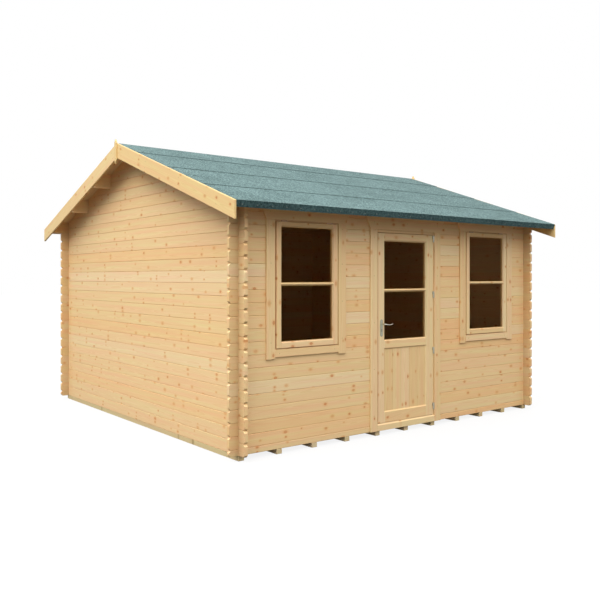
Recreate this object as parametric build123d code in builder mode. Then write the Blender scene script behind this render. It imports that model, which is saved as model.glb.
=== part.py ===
"""Log cabin: one room of crossed logs under a felted gable roof, with a glazed door between two windows.

Millimetres. X runs along the front wall, +Y to the rear, +Z up. The origin is on the underside of the
bearers, under the middle of the cabin. Logs meet with the small gaps that a dry-jointed wall has.
"""

import os
from math import cos, floor as round_down, hypot, radians, sin, tan

from build123d import *

os.makedirs("parts", exist_ok=True)

# Walls: outer faces of the logs, not their crossed ends.
wall_length = 4070
wall_depth = 4050
log_height = 113
log_thickness = 34
log_end = 95
log_bevel = 4
tip_cut = 19
tongue_width = 12
tongue_height = 7
head_cover = 30
joint_gap = 0.3
seat = 0.3

# Base.
bearer_width = 58
bearer_height = 45
bearer_count = 11
floor_thickness = 19
floor_margin = 4

# Roof.
roof_pitch = 19
plate_height = 125
eave_overhang = 270
gable_overhang = 214
deck_thickness = 18
felt_thickness = 3
felt_ridge_cover = 495
felt_exposure = 685
felt_lap = 75
purlin_thickness = 45
purlin_depth = 145
eave_batten_depth = 35
eave_batten_width = 45
bargeboard_thickness = 20
bargeboard_width = 146
bargeboard_rise = 0
finial_width = 46
finial_thickness = 16
finial_height = 260
finial_point = 38
finial_top_rise = 40

# Windows: top-hung sashes that stand a little proud of the wall.
window_offset = 1292
window_sill_course = 7.5
sash_width = 708
sash_height = 1122
sash_thickness = 40
sash_stile = 58
sash_top_rail = 42
sash_bottom_rail = 55
sash_bevel = 10
sash_proud = 18
sash_clearance = 5
window_bar = 25
window_sill_depth = 40
window_jamb = 28
frame_slack = 4
frame_depth = 62
glass_thickness = 5
window_trim_gap = 14
window_hinge_width = 64
window_hinge_inset = 92

# Boards on the wall around the windows and the door.
trim_width = 94
trim_thickness = 16
trim_drop = 48
head_board_height = 145
head_board_flare = 0.45
head_board_thickness = 18
sill_board_height = 66
window_head_gap = 13

# Door, hinged at its right edge and opening outwards.
door_width = 800
door_height = 1887
door_thickness = 40
door_proud = 6
door_gap = 5
door_lock_stile = 95
door_hinge_stile = 110
door_top_rail = 77
door_middle_rail = 92
door_bottom_rail = 112
door_glass_height = 988
door_bar = 26
door_bevel = 11
panel_board_count = 5
panel_board_thickness = 18
panel_board_gap = 1
panel_board_bevel = 2
door_jamb = 38
door_stop_width = 16
door_head_gap = 32
door_trim_gap = 15
threshold_height = 69
threshold_bevel = 12
threshold_proud = 16

# Door furniture.
hinge_radius = 7.5
knuckle_sides = 12
hinge_length = 68
hinge_plate = 2.5
hinge_plate_reach = 13
hinge_count = 4
hinge_from_bottom = 90
hinge_from_top = 36
handle_inset = 46
handle_height = 984
handle_plate_width = 38
handle_plate_height = 171
handle_plate_thickness = 3
handle_plate_drop = 40
spindle_size = 8
spindle_clearance = 1
lever_neck_radius = 8
lever_reach = 48
lever_length = 122
lever_height = 13
lever_band = 9
lever_dip = 9
lever_tip_dip = 3

half_length = wall_length / 2
half_depth = wall_depth / 2
slope = tan(radians(roof_pitch))
slope_cos = cos(radians(roof_pitch))
slope_sin = sin(radians(roof_pitch))
wall_base = bearer_height
log_solid = log_height - joint_gap
half_log = log_height / 2
roof_reach = half_length + gable_overhang - bargeboard_thickness - seat


def course(count):
    """Height of a log joint, counted in logs from the bottom of the walls."""
    return wall_base + count * log_height


# Openings in the front wall, measured to the logs.
window_half = sash_width / 2 + sash_clearance + window_jamb + frame_slack
window_bottom = course(window_sill_course)
sash_bottom = window_bottom + seat + window_sill_depth + sash_clearance
sash_top = sash_bottom + sash_height
window_top = sash_top + sash_clearance + window_jamb + frame_slack
door_bottom = wall_base + threshold_height + door_gap
door_top = door_bottom + door_height
door_half = door_width / 2 + door_gap + door_jamb + frame_slack
doorway_top = door_top + door_gap + door_jamb + frame_slack

# The walls are as high as their openings need: one log runs on over them and the plate log tops it.
opening_top = max(window_top, doorway_top)
head_course = round_down((opening_top + head_cover - wall_base) / log_height - 0.5) + 0.5
long_courses = int(head_course + 0.5)
gable_courses = long_courses + 1
wall_top = course(gable_courses)
plate_base = course(head_course + 1)
plate_top = plate_base + plate_height


def under_roof(inward):
    """Underside of the roof deck at a distance inward from the outer face of a long wall."""
    return plate_top + inward * slope


ridge_under = under_roof(half_depth)
deck_rise = deck_thickness / slope_cos
felt_rise = (deck_thickness + felt_thickness) / slope_cos


def log_section(height):
    """Corners of a log's section: the outer long edges are bevelled, so that joints show as a V."""
    return [
        (log_thickness, 0),
        (log_bevel, 0),
        (0, log_bevel),
        (0, height - log_bevel),
        (log_bevel, height),
        (log_thickness, height),
    ]


def make_log(start, end, height=log_solid, tongues=(), grooves=(), crossings=(), tips=()):
    """A log along X, its outer face on y = 0 and its underside on z = 0.

    tongues and grooves are the stretches where it locks into the logs above and below. crossings are
    the places where a log of the next wall passes through its lower half. tips are the ends whose
    corners are cut at 45 degrees.
    """
    middle = log_thickness / 2
    with BuildPart() as log:
        with BuildSketch(Plane.YZ.offset(start)):
            with BuildLine():
                Polyline(*log_section(height), close=True)
            make_face()
        extrude(amount=end - start)
        for low, high in tongues:
            with BuildSketch(Plane.XY.offset(height)):
                with Locations(((low + high) / 2, middle)):
                    Rectangle(high - low, tongue_width)
            extrude(amount=tongue_height)
        for low, high in grooves:
            with BuildSketch():
                with Locations(((low + high) / 2, middle)):
                    Rectangle(high - low + 2 * seat, tongue_width + 2 * seat)
            extrude(amount=tongue_height + joint_gap, mode=Mode.SUBTRACT)
        for place in crossings:
            with BuildSketch():
                with Locations((place, middle)):
                    Rectangle(log_thickness + 2 * joint_gap, 2 * log_thickness)
            extrude(amount=half_log, mode=Mode.SUBTRACT)
        for tip in tips:
            back = tip_cut if tip < 0 else -tip_cut
            with BuildSketch(Plane.XZ):
                for corner, inward in ((0, tip_cut), (height, -tip_cut)):
                    with BuildLine():
                        Polyline((tip, corner), (tip + back, corner), (tip, corner + inward), close=True)
                    make_face()
            extrude(amount=2 * log_thickness, both=True, mode=Mode.SUBTRACT)
    return log.part


# Tongues stop clear of the corners, where the logs of two walls cross.
run_margin = 20
long_run = half_length - log_thickness - run_margin
gable_run = half_depth - log_thickness - run_margin
long_cross = half_length - log_thickness / 2
gable_cross = half_depth - log_thickness / 2
long_tip = half_length + log_end
gable_tip = half_depth + log_end

# Logs of the long walls: a half log comes first, so that the corners cross in step.
first_long_log = make_log(
    -long_tip,
    long_tip,
    half_log - joint_gap,
    tongues=[(-long_run, long_run)],
    tips=(-long_tip, long_tip),
)
long_log = make_log(
    -long_tip,
    long_tip,
    tongues=[(-long_run, long_run)],
    grooves=[(-long_run, long_run)],
    crossings=(-long_cross, long_cross),
    tips=(-long_tip, long_tip),
)

# The top log carries the roof: its upper face lies on the slope and it runs out to the bargeboards.
with BuildPart() as plate_log:
    with BuildSketch(Plane.YZ.offset(-roof_reach)):
        with BuildLine():
            Polyline(
                (log_thickness, 0),
                (log_bevel, 0),
                (0, log_bevel),
                (0, plate_height - seat),
                (log_thickness, plate_height - seat + log_thickness * slope),
                close=True,
            )
        make_face()
    extrude(amount=2 * roof_reach)
    with BuildSketch():
        with Locations((-long_cross, log_thickness / 2), (long_cross, log_thickness / 2)):
            Rectangle(log_thickness + 2 * joint_gap, 2 * log_thickness)
    extrude(amount=half_log, mode=Mode.SUBTRACT)
    with BuildSketch():
        with Locations((0, log_thickness / 2)):
            Rectangle(2 * long_run + 2 * seat, tongue_width + 2 * seat)
    extrude(amount=tongue_height + joint_gap, mode=Mode.SUBTRACT)


def wall_face(proud):
    """A plane in front of the front wall's face, its y axis up and its normal outwards."""
    return Plane.XZ.offset(half_depth + proud)


# The front wall is cut for the door and windows, which leaves a row of short logs beside each.
with BuildPart() as front_wall:
    with Locations((0, -half_depth, wall_base)):
        add(first_long_log)
    with Locations(*[(0, -half_depth, course(0.5 + row)) for row in range(long_courses)]):
        add(long_log)
    with BuildSketch(wall_face(log_thickness)):
        with Locations(
            (-window_offset, (window_bottom + window_top) / 2),
            (window_offset, (window_bottom + window_top) / 2),
        ):
            Rectangle(2 * window_half, window_top - window_bottom)
        with Locations((0, doorway_top / 2)):
            Rectangle(2 * door_half, doorway_top)
    extrude(amount=-3 * log_thickness, mode=Mode.SUBTRACT)
front_logs = front_wall.part.solids()

with BuildPart() as front_wall_left:
    add([log for log in front_logs if log.bounding_box().max.X < 0])
front_wall_left.part.label = "front_wall_left"
export_step(front_wall_left.part, "parts/front_wall_left.step")

with BuildPart() as front_wall_right:
    mirror(front_wall_left.part, about=Plane.YZ)
front_wall_right.part.label = "front_wall_right"
export_step(front_wall_right.part, "parts/front_wall_right.step")

with BuildPart() as front_wall_top:
    add([log for log in front_logs if log.bounding_box().min.X < 0 < log.bounding_box().max.X])
    with Locations((0, -half_depth, plate_base)):
        add(plate_log.part)
front_wall_top.part.label = "front_wall_top"
export_step(front_wall_top.part, "parts/front_wall_top.step")

# Turned half round, a log's outer face looks to the rear.
with BuildPart() as rear_wall:
    with Locations(Location((0, half_depth, wall_base), (0, 0, 180))):
        add(first_long_log)
    with Locations(
        *[Location((0, half_depth, course(0.5 + row)), (0, 0, 180)) for row in range(long_courses)]
    ):
        add(long_log)
    with Locations(Location((0, half_depth, plate_base), (0, 0, 180))):
        add(plate_log.part)
rear_wall.part.label = "rear_wall"
export_step(rear_wall.part, "parts/rear_wall.step")

# Gable walls start with a whole log.
gable_log = make_log(
    -gable_tip,
    gable_tip,
    tongues=[(-gable_run, gable_run)],
    grooves=[(-gable_run, gable_run)],
    crossings=(-gable_cross, gable_cross),
    tips=(-gable_tip, gable_tip),
)
with BuildPart() as left_gable_wall:
    with Locations(*[Location((-half_length, 0, course(row)), (0, 0, -90)) for row in range(gable_courses)]):
        add(gable_log)
left_gable_wall.part.label = "left_gable_wall"
export_step(left_gable_wall.part, "parts/left_gable_wall.step")

with BuildPart() as right_gable_wall:
    mirror(left_gable_wall.part, about=Plane.YZ)
right_gable_wall.part.label = "right_gable_wall"
export_step(right_gable_wall.part, "parts/right_gable_wall.step")

# Purlins pass through the gables and end at the bargeboards. Their tops lie on the slope.
purlin_spacing = half_depth / 3
purlin_lines = (purlin_spacing, 2 * purlin_spacing)


def purlin_section(inward, clearance=0.0):
    """Corners of a front purlin's section, its top on the slope, or of its slot in the gable."""
    half = purlin_thickness / 2 + clearance
    centre = inward - half_depth
    bottom = under_roof(inward) - purlin_depth - clearance
    top = under_roof(inward) - seat + clearance
    rise = half * slope
    return [
        (centre - half, bottom),
        (centre + half, bottom),
        (centre + half, top + rise),
        (centre - half, top - rise),
    ]


def ridge_section(clearance=0.0):
    """Corners of the ridge purlin's section, its top cut to both slopes, or of its slot."""
    half = purlin_thickness / 2 + clearance
    top = ridge_under - seat + clearance
    bottom = ridge_under - purlin_depth - clearance
    return [
        (-half, bottom),
        (half, bottom),
        (half, top - half * slope),
        (0, top),
        (-half, top - half * slope),
    ]


with BuildPart() as purlins:
    with BuildSketch(Plane.YZ.offset(-roof_reach)):
        for line in purlin_lines:
            with BuildLine():
                Polyline(*purlin_section(line), close=True)
            make_face()
        mirror(about=Plane.YZ)
        with BuildLine():
            Polyline(*ridge_section(), close=True)
        make_face()
    extrude(amount=2 * roof_reach)
purlins.part.label = "purlins"
export_step(purlins.part, "parts/purlins.step")


def gable_half(height):
    """Half the length of the gable at a height, where the roof slope cuts it."""
    return (ridge_under - height) / slope


# The peak is built of whole logs, then trimmed to the slopes and slotted for the purlins.
peak_courses = int((ridge_under - wall_top) / log_height) + 1
peak_margin = 60
peak_logs = []
for row in range(peak_courses):
    bottom = wall_top + row * log_height
    half = min(gable_half(bottom), half_depth - log_thickness - joint_gap)
    groove_half = min(gable_half(bottom) - peak_margin, gable_run)
    tongue_half = gable_half(bottom + log_height) - peak_margin
    peak_log = make_log(
        -half,
        half,
        tongues=[(-tongue_half, tongue_half)] if tongue_half > log_height else (),
        grooves=[(-groove_half, groove_half)] if groove_half > log_height else (),
    )
    peak_logs.append(peak_log.moved(Location((-half_length, 0, bottom), (0, 0, -90))))

with BuildPart() as left_gable_peak:
    add(peak_logs)
    with BuildSketch(Plane.YZ.offset(-half_length - seat)):
        with BuildLine():
            Polyline(
                (-half_depth, under_roof(0) - seat),
                (0, ridge_under - seat),
                (half_depth, under_roof(0) - seat),
                (half_depth, ridge_under + log_height),
                (-half_depth, ridge_under + log_height),
                close=True,
            )
        make_face()
    extrude(amount=2 * log_thickness, mode=Mode.SUBTRACT)
    with BuildSketch(Plane.YZ.offset(-half_length - seat)):
        for line in purlin_lines:
            with BuildLine():
                Polyline(*purlin_section(line, joint_gap), close=True)
            make_face()
        mirror(about=Plane.YZ)
        with BuildLine():
            Polyline(*ridge_section(joint_gap), close=True)
        make_face()
    extrude(amount=2 * log_thickness, mode=Mode.SUBTRACT)
left_gable_peak.part.label = "left_gable_peak"
export_step(left_gable_peak.part, "parts/left_gable_peak.step")

with BuildPart() as right_gable_peak:
    mirror(left_gable_peak.part, about=Plane.YZ)
right_gable_peak.part.label = "right_gable_peak"
export_step(right_gable_peak.part, "parts/right_gable_peak.step")

# Roof deck: each slope is one boarded sheet, mitred at the ridge and square at the eave.
with BuildPart() as front_roof_deck:
    with BuildSketch(Plane.YZ.offset(-roof_reach)):
        with BuildLine():
            Polyline(
                (-seat / 2, ridge_under),
                (-seat / 2, ridge_under + deck_rise),
                (-half_depth - eave_overhang, under_roof(-eave_overhang) + deck_rise),
                (
                    -half_depth - eave_overhang + deck_thickness * slope_sin,
                    under_roof(-eave_overhang) + deck_rise - deck_thickness * slope_cos,
                ),
                close=True,
            )
        make_face()
    extrude(amount=2 * roof_reach)
front_roof_deck.part.label = "front_roof_deck"
export_step(front_roof_deck.part, "parts/front_roof_deck.step")

with BuildPart() as rear_roof_deck:
    mirror(front_roof_deck.part, about=Plane.XZ)
rear_roof_deck.part.label = "rear_roof_deck"
export_step(rear_roof_deck.part, "parts/rear_roof_deck.step")

# On each slope, u runs down the slope from the ridge and v stands square to it.
deck_run = (half_depth + eave_overhang) / slope_cos
slope_plane = Plane(
    origin=(-roof_reach, 0, ridge_under + deck_rise),
    x_dir=(0, -slope_cos, -slope_sin),
    z_dir=(-1, 0, 0),
)

# Eave battens under the edge of the deck, with their faces in line with its edge.
eave_drop = deck_thickness + seat + eave_batten_depth
with BuildPart() as eave_battens:
    with BuildSketch(slope_plane):
        with Locations((deck_run - eave_batten_width / 2, -deck_thickness - seat - eave_batten_depth / 2)):
            Rectangle(eave_batten_width, eave_batten_depth)
    extrude(amount=-2 * roof_reach)
    mirror(about=Plane.XZ)
eave_battens.part.label = "eave_battens"
export_step(eave_battens.part, "parts/eave_battens.step")

# Felt strips run from the eave up. Each lies over the upper edge of the one below it, and the last
# is folded over the ridge. Their lower edges are lifted by the strip that they lie on.
felt_edges = [felt_ridge_cover]
while felt_edges[-1] + felt_exposure + felt_lap < deck_run:
    felt_edges.append(felt_edges[-1] + felt_exposure)
felt_edges.append(deck_run + seat + felt_thickness)


def felt_lift(start, lower):
    """How far a strip's lower edge stands off the deck when it laps the strip below it."""
    return (felt_thickness + seat) * (lower - start) / (lower - start - felt_lap)


with BuildPart() as front_felt:
    with BuildSketch(slope_plane):
        for upper, lower in zip(felt_edges, felt_edges[1:]):
            start = upper - felt_lap
            lift = felt_lift(start, lower)
            with BuildLine():
                Polyline(
                    (start, seat),
                    (start, seat + felt_thickness),
                    (lower, seat + lift + felt_thickness),
                    (lower, seat + lift),
                    close=True,
                )
            make_face()
    extrude(amount=-2 * roof_reach)
front_felt.part.label = "front_felt"
export_step(front_felt.part, "parts/front_felt.step")

with BuildPart() as rear_felt:
    mirror(front_felt.part, about=Plane.XZ)
rear_felt.part.label = "rear_felt"
export_step(rear_felt.part, "parts/rear_felt.step")

ridge_lift = felt_lift(0, felt_ridge_cover)
with BuildPart() as ridge_felt:
    with BuildSketch(slope_plane):
        with BuildLine():
            Polyline(
                (-seat * slope, seat),
                (-(seat + felt_thickness) * slope, seat + felt_thickness),
                (felt_ridge_cover, seat + ridge_lift + felt_thickness),
                (felt_ridge_cover, seat + ridge_lift),
                close=True,
            )
        make_face()
    extrude(amount=-2 * roof_reach)
    mirror(about=Plane.XZ)
ridge_felt.part.label = "ridge_felt"
export_step(ridge_felt.part, "parts/ridge_felt.step")

# A strip nailed along each eave turns down over the edge of the deck and its batten.
with BuildPart() as eave_felts:
    with BuildSketch(slope_plane):
        with BuildLine():
            Polyline(
                (deck_run - felt_lap, seat),
                (deck_run - felt_lap, seat + felt_thickness),
                (deck_run + seat + felt_thickness, seat + felt_thickness),
                (deck_run + seat + felt_thickness, -eave_drop),
                (deck_run + seat, -eave_drop),
                (deck_run + seat, seat),
                close=True,
            )
        make_face()
    extrude(amount=-2 * roof_reach)
    mirror(about=Plane.XZ)
eave_felts.part.label = "eave_felts"
export_step(eave_felts.part, "parts/eave_felts.step")

# Bargeboards close the ends of the roof. They stand a little above the felt and are cut plumb.
gable_face = half_length + gable_overhang
board_plumb = bargeboard_width / slope_cos
board_ridge = ridge_under + felt_rise + bargeboard_rise
board_eave = board_ridge - (half_depth + eave_overhang) * slope
with BuildPart() as left_bargeboards:
    with BuildSketch(Plane.YZ.offset(-gable_face)):
        with BuildLine():
            Polyline(
                (-seat / 2, board_ridge),
                (-seat / 2, board_ridge - board_plumb),
                (-half_depth - eave_overhang, board_eave - board_plumb),
                (-half_depth - eave_overhang, board_eave),
                close=True,
            )
        make_face()
        mirror(about=Plane.YZ)
    extrude(amount=bargeboard_thickness)
left_bargeboards.part.label = "left_bargeboards"
export_step(left_bargeboards.part, "parts/left_bargeboards.step")

with BuildPart() as right_bargeboards:
    mirror(left_bargeboards.part, about=Plane.YZ)
right_bargeboards.part.label = "right_bargeboards"
export_step(right_bargeboards.part, "parts/right_bargeboards.step")

# A pointed cover strip hides each joint of the bargeboards at the ridge.
finial_top = board_ridge + finial_top_rise
with BuildPart() as finials:
    with BuildSketch(Plane.YZ.offset(gable_face + seat)):
        with BuildLine():
            Polyline(
                (0, finial_top),
                (finial_width / 2, finial_top - finial_point),
                (finial_width / 2, finial_top - finial_height + finial_point),
                (0, finial_top - finial_height),
                (-finial_width / 2, finial_top - finial_height + finial_point),
                (-finial_width / 2, finial_top - finial_point),
                close=True,
            )
        make_face()
    extrude(amount=finial_thickness)
    mirror(about=Plane.YZ)
finials.part.label = "finials"
export_step(finials.part, "parts/finials.step")

# Bearers run from front to rear under both long walls, the outer two under the gables.
bearer_spacing = (wall_length - bearer_width) / (bearer_count - 1)
with BuildPart() as bearers:
    with BuildSketch():
        with GridLocations(bearer_spacing, 1, bearer_count, 1):
            Rectangle(bearer_width, wall_depth)
    extrude(amount=bearer_height - seat)
bearers.part.label = "bearers"
export_step(bearers.part, "parts/bearers.step")

# The floor lies on the bearers, cut back round the door frame.
frame_width = 2 * (door_half - frame_slack)
frame_reach = frame_depth - log_thickness
room_length = wall_length - 2 * log_thickness - 2 * floor_margin
room_depth = wall_depth - 2 * log_thickness - 2 * floor_margin
with BuildPart() as floor:
    with BuildSketch(Plane.XY.offset(bearer_height)):
        Rectangle(room_length, room_depth)
        with Locations((0, -room_depth / 2)):
            Rectangle(
                frame_width + 2 * floor_margin,
                2 * frame_reach,
                mode=Mode.SUBTRACT,
            )
    extrude(amount=floor_thickness)
floor.part.label = "floor"
export_step(floor.part, "parts/floor.step")


# Left window. Head and sill lie between the jambs, and the sash is hinged along the top.
window_frame_bottom = window_bottom + seat
window_frame_height = window_top - frame_slack - window_frame_bottom
window_clear_half = sash_width / 2 + sash_clearance
sash_centre = (sash_bottom + sash_top) / 2
with BuildPart() as window_frame_left:
    with BuildSketch(wall_face(0)):
        with Locations((-window_offset, window_frame_bottom + window_frame_height / 2)):
            with GridLocations(2 * window_clear_half + window_jamb, 1, 2, 1):
                Rectangle(window_jamb, window_frame_height)
        with Locations((-window_offset, window_frame_bottom + window_sill_depth / 2)):
            Rectangle(2 * (window_clear_half - seat), window_sill_depth)
        with Locations((-window_offset, sash_top + sash_clearance + window_jamb / 2)):
            Rectangle(2 * (window_clear_half - seat), window_jamb)
    extrude(amount=-frame_depth)
window_frame_left.part.label = "window_frame_left"
export_step(window_frame_left.part, "parts/window_frame_left.step")

pane_width = sash_width - 2 * sash_stile
pane_height = (sash_height - sash_top_rail - sash_bottom_rail - window_bar) / 2
pane_spacing = pane_height + window_bar
pane_centre = sash_centre + (sash_bottom_rail - sash_top_rail) / 2
with BuildPart() as window_sash_left:
    with BuildSketch(wall_face(sash_proud)):
        with Locations((-window_offset, sash_centre)):
            Rectangle(sash_width, sash_height)
        with Locations((-window_offset, pane_centre)):
            with GridLocations(1, pane_spacing, 1, 2):
                Rectangle(pane_width, pane_height, mode=Mode.SUBTRACT)
    extrude(amount=-sash_thickness)
    sash_front = faces().sort_by(Axis.Y)[0]
    chamfer([edge for wire in sash_front.inner_wires() for edge in wire.edges()], sash_bevel)
window_sash_left.part.label = "window_sash_left"
export_step(window_sash_left.part, "parts/window_sash_left.step")

with BuildPart() as window_glass_left:
    with BuildSketch(wall_face(sash_proud - sash_thickness / 2)):
        with Locations((-window_offset, pane_centre)):
            with GridLocations(1, pane_spacing, 1, 2):
                Rectangle(pane_width - 2 * seat, pane_height - 2 * seat)
    extrude(amount=glass_thickness)
window_glass_left.part.label = "window_glass_left"
export_step(window_glass_left.part, "parts/window_glass_left.step")


def head_board(width, bottom):
    """Corners of the board over a window or the door: its ends flare outwards as they rise."""
    top = bottom + head_board_height
    flare = head_board_flare * head_board_height
    return [
        (-width / 2, bottom),
        (width / 2, bottom),
        (width / 2 + flare, top),
        (-width / 2 - flare, top),
    ]


# Cover boards: an upright at each side, a sill board between them and a flared board over the top.
window_trim_inner = sash_width / 2 + window_trim_gap
window_trim_outer = window_trim_inner + trim_width
window_trim_bottom = window_bottom - trim_drop
window_head = sash_top + window_head_gap
sill_board_bottom = window_trim_bottom + trim_thickness
with BuildPart() as window_trim_left:
    with BuildSketch(wall_face(seat)):
        with Locations((-window_offset, (window_trim_bottom + window_head - seat) / 2)):
            with GridLocations(2 * window_trim_inner + trim_width, 1, 2, 1):
                Rectangle(trim_width, window_head - seat - window_trim_bottom)
    extrude(amount=trim_thickness)
    with BuildSketch(wall_face(seat)):
        with Locations((-window_offset, 0)):
            Polygon(*head_board(2 * window_trim_outer, window_head), align=None)
    extrude(amount=head_board_thickness)
    with BuildSketch(wall_face(seat)):
        with Locations((-window_offset, sill_board_bottom + sill_board_height / 2)):
            Rectangle(2 * (window_trim_inner - seat), sill_board_height)
    extrude(amount=trim_thickness)
window_trim_left.part.label = "window_trim_left"
export_step(window_trim_left.part, "parts/window_trim_left.step")

# Window hinges: short barrels in front of the gap between the sash and the board over it.
window_hinge_radius = window_head_gap / 2 - seat
window_hinge_shift = sash_width / 2 - window_hinge_inset
with BuildPart() as window_hinges_left:
    for shift in (-window_hinge_shift, window_hinge_shift):
        with BuildSketch(Plane.YZ.offset(-window_offset + shift - window_hinge_width / 2)):
            with Locations((-half_depth - window_hinge_radius - seat, sash_top + window_head_gap / 2)):
                Circle(window_hinge_radius)
                with Locations((window_hinge_radius / 2, 0)):
                    Rectangle(window_hinge_radius, 2 * window_hinge_radius)
        extrude(amount=window_hinge_width)
window_hinges_left.part.label = "window_hinges_left"
export_step(window_hinges_left.part, "parts/window_hinges_left.step")

# The right window repeats the left one across the door.
left_pieces = [
    window_frame_left,
    window_sash_left,
    window_glass_left,
    window_trim_left,
    window_hinges_left,
]
for left_piece in left_pieces:
    name = left_piece.part.label.replace("left", "right")
    with BuildPart() as right_piece:
        mirror(left_piece.part, about=Plane.YZ)
    right_piece.part.label = name
    export_step(right_piece.part, f"parts/{name}.step")

# Door frame: two jambs and a head between them, each with a stop behind the leaf.
frame_bottom = wall_base + seat
frame_top = doorway_top - frame_slack
clear_half = door_width / 2 + door_gap
clear_top = door_top + door_gap
stop_depth = door_thickness - door_proud + door_gap
with BuildPart() as door_frame:
    with BuildSketch(wall_face(0)):
        with Locations((0, (frame_bottom + frame_top) / 2)):
            with GridLocations(2 * clear_half + door_jamb, 1, 2, 1):
                Rectangle(door_jamb, frame_top - frame_bottom)
        with Locations((0, clear_top + door_jamb / 2)):
            Rectangle(2 * (clear_half - seat), door_jamb)
    extrude(amount=-frame_depth)
    with BuildSketch(wall_face(-stop_depth)):
        with Locations((0, (frame_bottom + clear_top - seat) / 2)):
            with GridLocations(2 * clear_half - door_stop_width, 1, 2, 1):
                Rectangle(door_stop_width, clear_top - seat - frame_bottom)
        with Locations((0, clear_top - door_stop_width / 2)):
            Rectangle(2 * (clear_half - door_stop_width - seat), door_stop_width)
    extrude(amount=stop_depth - frame_depth)
door_frame.part.label = "door_frame"
export_step(door_frame.part, "parts/door_frame.step")

# Threshold between the jambs, its outer edge weathered. Its nosing runs on over their faces, as far
# as the trim.
door_trim_inner = door_width / 2 + door_trim_gap
threshold_top = wall_base + threshold_height
nosing_front = -half_depth - threshold_proud
with BuildPart() as threshold:
    for half_run, back in (
        (clear_half - door_stop_width - seat, -half_depth + frame_depth),
        (door_trim_inner - seat, -half_depth - seat),
    ):
        with BuildSketch(Plane.YZ.offset(-half_run)):
            with BuildLine():
                Polyline(
                    (nosing_front, frame_bottom),
                    (back, frame_bottom),
                    (back, threshold_top),
                    (nosing_front + threshold_bevel, threshold_top),
                    (nosing_front, threshold_top - threshold_bevel),
                    close=True,
                )
            make_face()
        extrude(amount=2 * half_run)
threshold.part.label = "threshold"
export_step(threshold.part, "parts/threshold.step")

door_trim_outer = door_trim_inner + trim_width
door_head = door_top + door_head_gap
with BuildPart() as door_trim:
    with BuildSketch(wall_face(seat)):
        with Locations((0, (wall_base + door_head - seat) / 2)):
            with GridLocations(2 * door_trim_inner + trim_width, 1, 2, 1):
                Rectangle(trim_width, door_head - seat - wall_base)
    extrude(amount=trim_thickness)
    with BuildSketch(wall_face(seat)):
        Polygon(*head_board(2 * door_trim_outer, door_head), align=None)
    extrude(amount=head_board_thickness)
door_trim.part.label = "door_trim"
export_step(door_trim.part, "parts/door_trim.step")

# Door leaf: stiles and rails round two panes and a boarded panel.
door_opening = door_width - door_lock_stile - door_hinge_stile
door_opening_x = (door_lock_stile - door_hinge_stile) / 2
door_pane_height = (door_glass_height - door_bar) / 2
door_pane_spacing = door_pane_height + door_bar
door_glass_centre = door_top - door_top_rail - door_glass_height / 2
panel_height = door_height - door_top_rail - door_glass_height - door_middle_rail - door_bottom_rail
panel_centre = door_bottom + door_bottom_rail + panel_height / 2
spindle_x = -door_width / 2 + handle_inset
spindle_z = door_bottom + handle_height
spindle_hole = hypot(spindle_size, spindle_size) / 2 + spindle_clearance
with BuildPart() as door_leaf:
    with BuildSketch(wall_face(door_proud)):
        with Locations((0, (door_bottom + door_top) / 2)):
            Rectangle(door_width, door_height)
        with Locations((door_opening_x, door_glass_centre)):
            with GridLocations(1, door_pane_spacing, 1, 2):
                Rectangle(door_opening, door_pane_height, mode=Mode.SUBTRACT)
        with Locations((door_opening_x, panel_centre)):
            Rectangle(door_opening, panel_height, mode=Mode.SUBTRACT)
    extrude(amount=-door_thickness)
    leaf_front = faces().sort_by(Axis.Y)[0]
    chamfer([edge for wire in leaf_front.inner_wires() for edge in wire.edges()], door_bevel)
    with BuildSketch(wall_face(door_proud)):
        with Locations((spindle_x, spindle_z)):
            Circle(spindle_hole)
    extrude(amount=-door_thickness, mode=Mode.SUBTRACT)
door_leaf.part.label = "door_leaf"
export_step(door_leaf.part, "parts/door_leaf.step")

with BuildPart() as door_glass:
    with BuildSketch(wall_face(door_proud - door_thickness / 2)):
        with Locations((door_opening_x, door_glass_centre)):
            with GridLocations(1, door_pane_spacing, 1, 2):
                Rectangle(door_opening - 2 * seat, door_pane_height - 2 * seat)
    extrude(amount=glass_thickness)
door_glass.part.label = "door_glass"
export_step(door_glass.part, "parts/door_glass.step")

panel_board_pitch = (door_opening - 2 * seat + panel_board_gap) / panel_board_count
with BuildPart() as door_panel:
    with BuildSketch(wall_face(door_proud - (door_thickness + panel_board_thickness) / 2)):
        with Locations((door_opening_x, panel_centre)):
            with GridLocations(panel_board_pitch, 1, panel_board_count, 1):
                Rectangle(panel_board_pitch - panel_board_gap, panel_height - 2 * seat)
    extrude(amount=panel_board_thickness)
    board_edges = edges().filter_by(Axis.Z).group_by(Axis.Y)[0]
    chamfer(board_edges, panel_board_bevel)
door_panel.part.label = "door_panel"
export_step(door_panel.part, "parts/door_panel.step")

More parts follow.
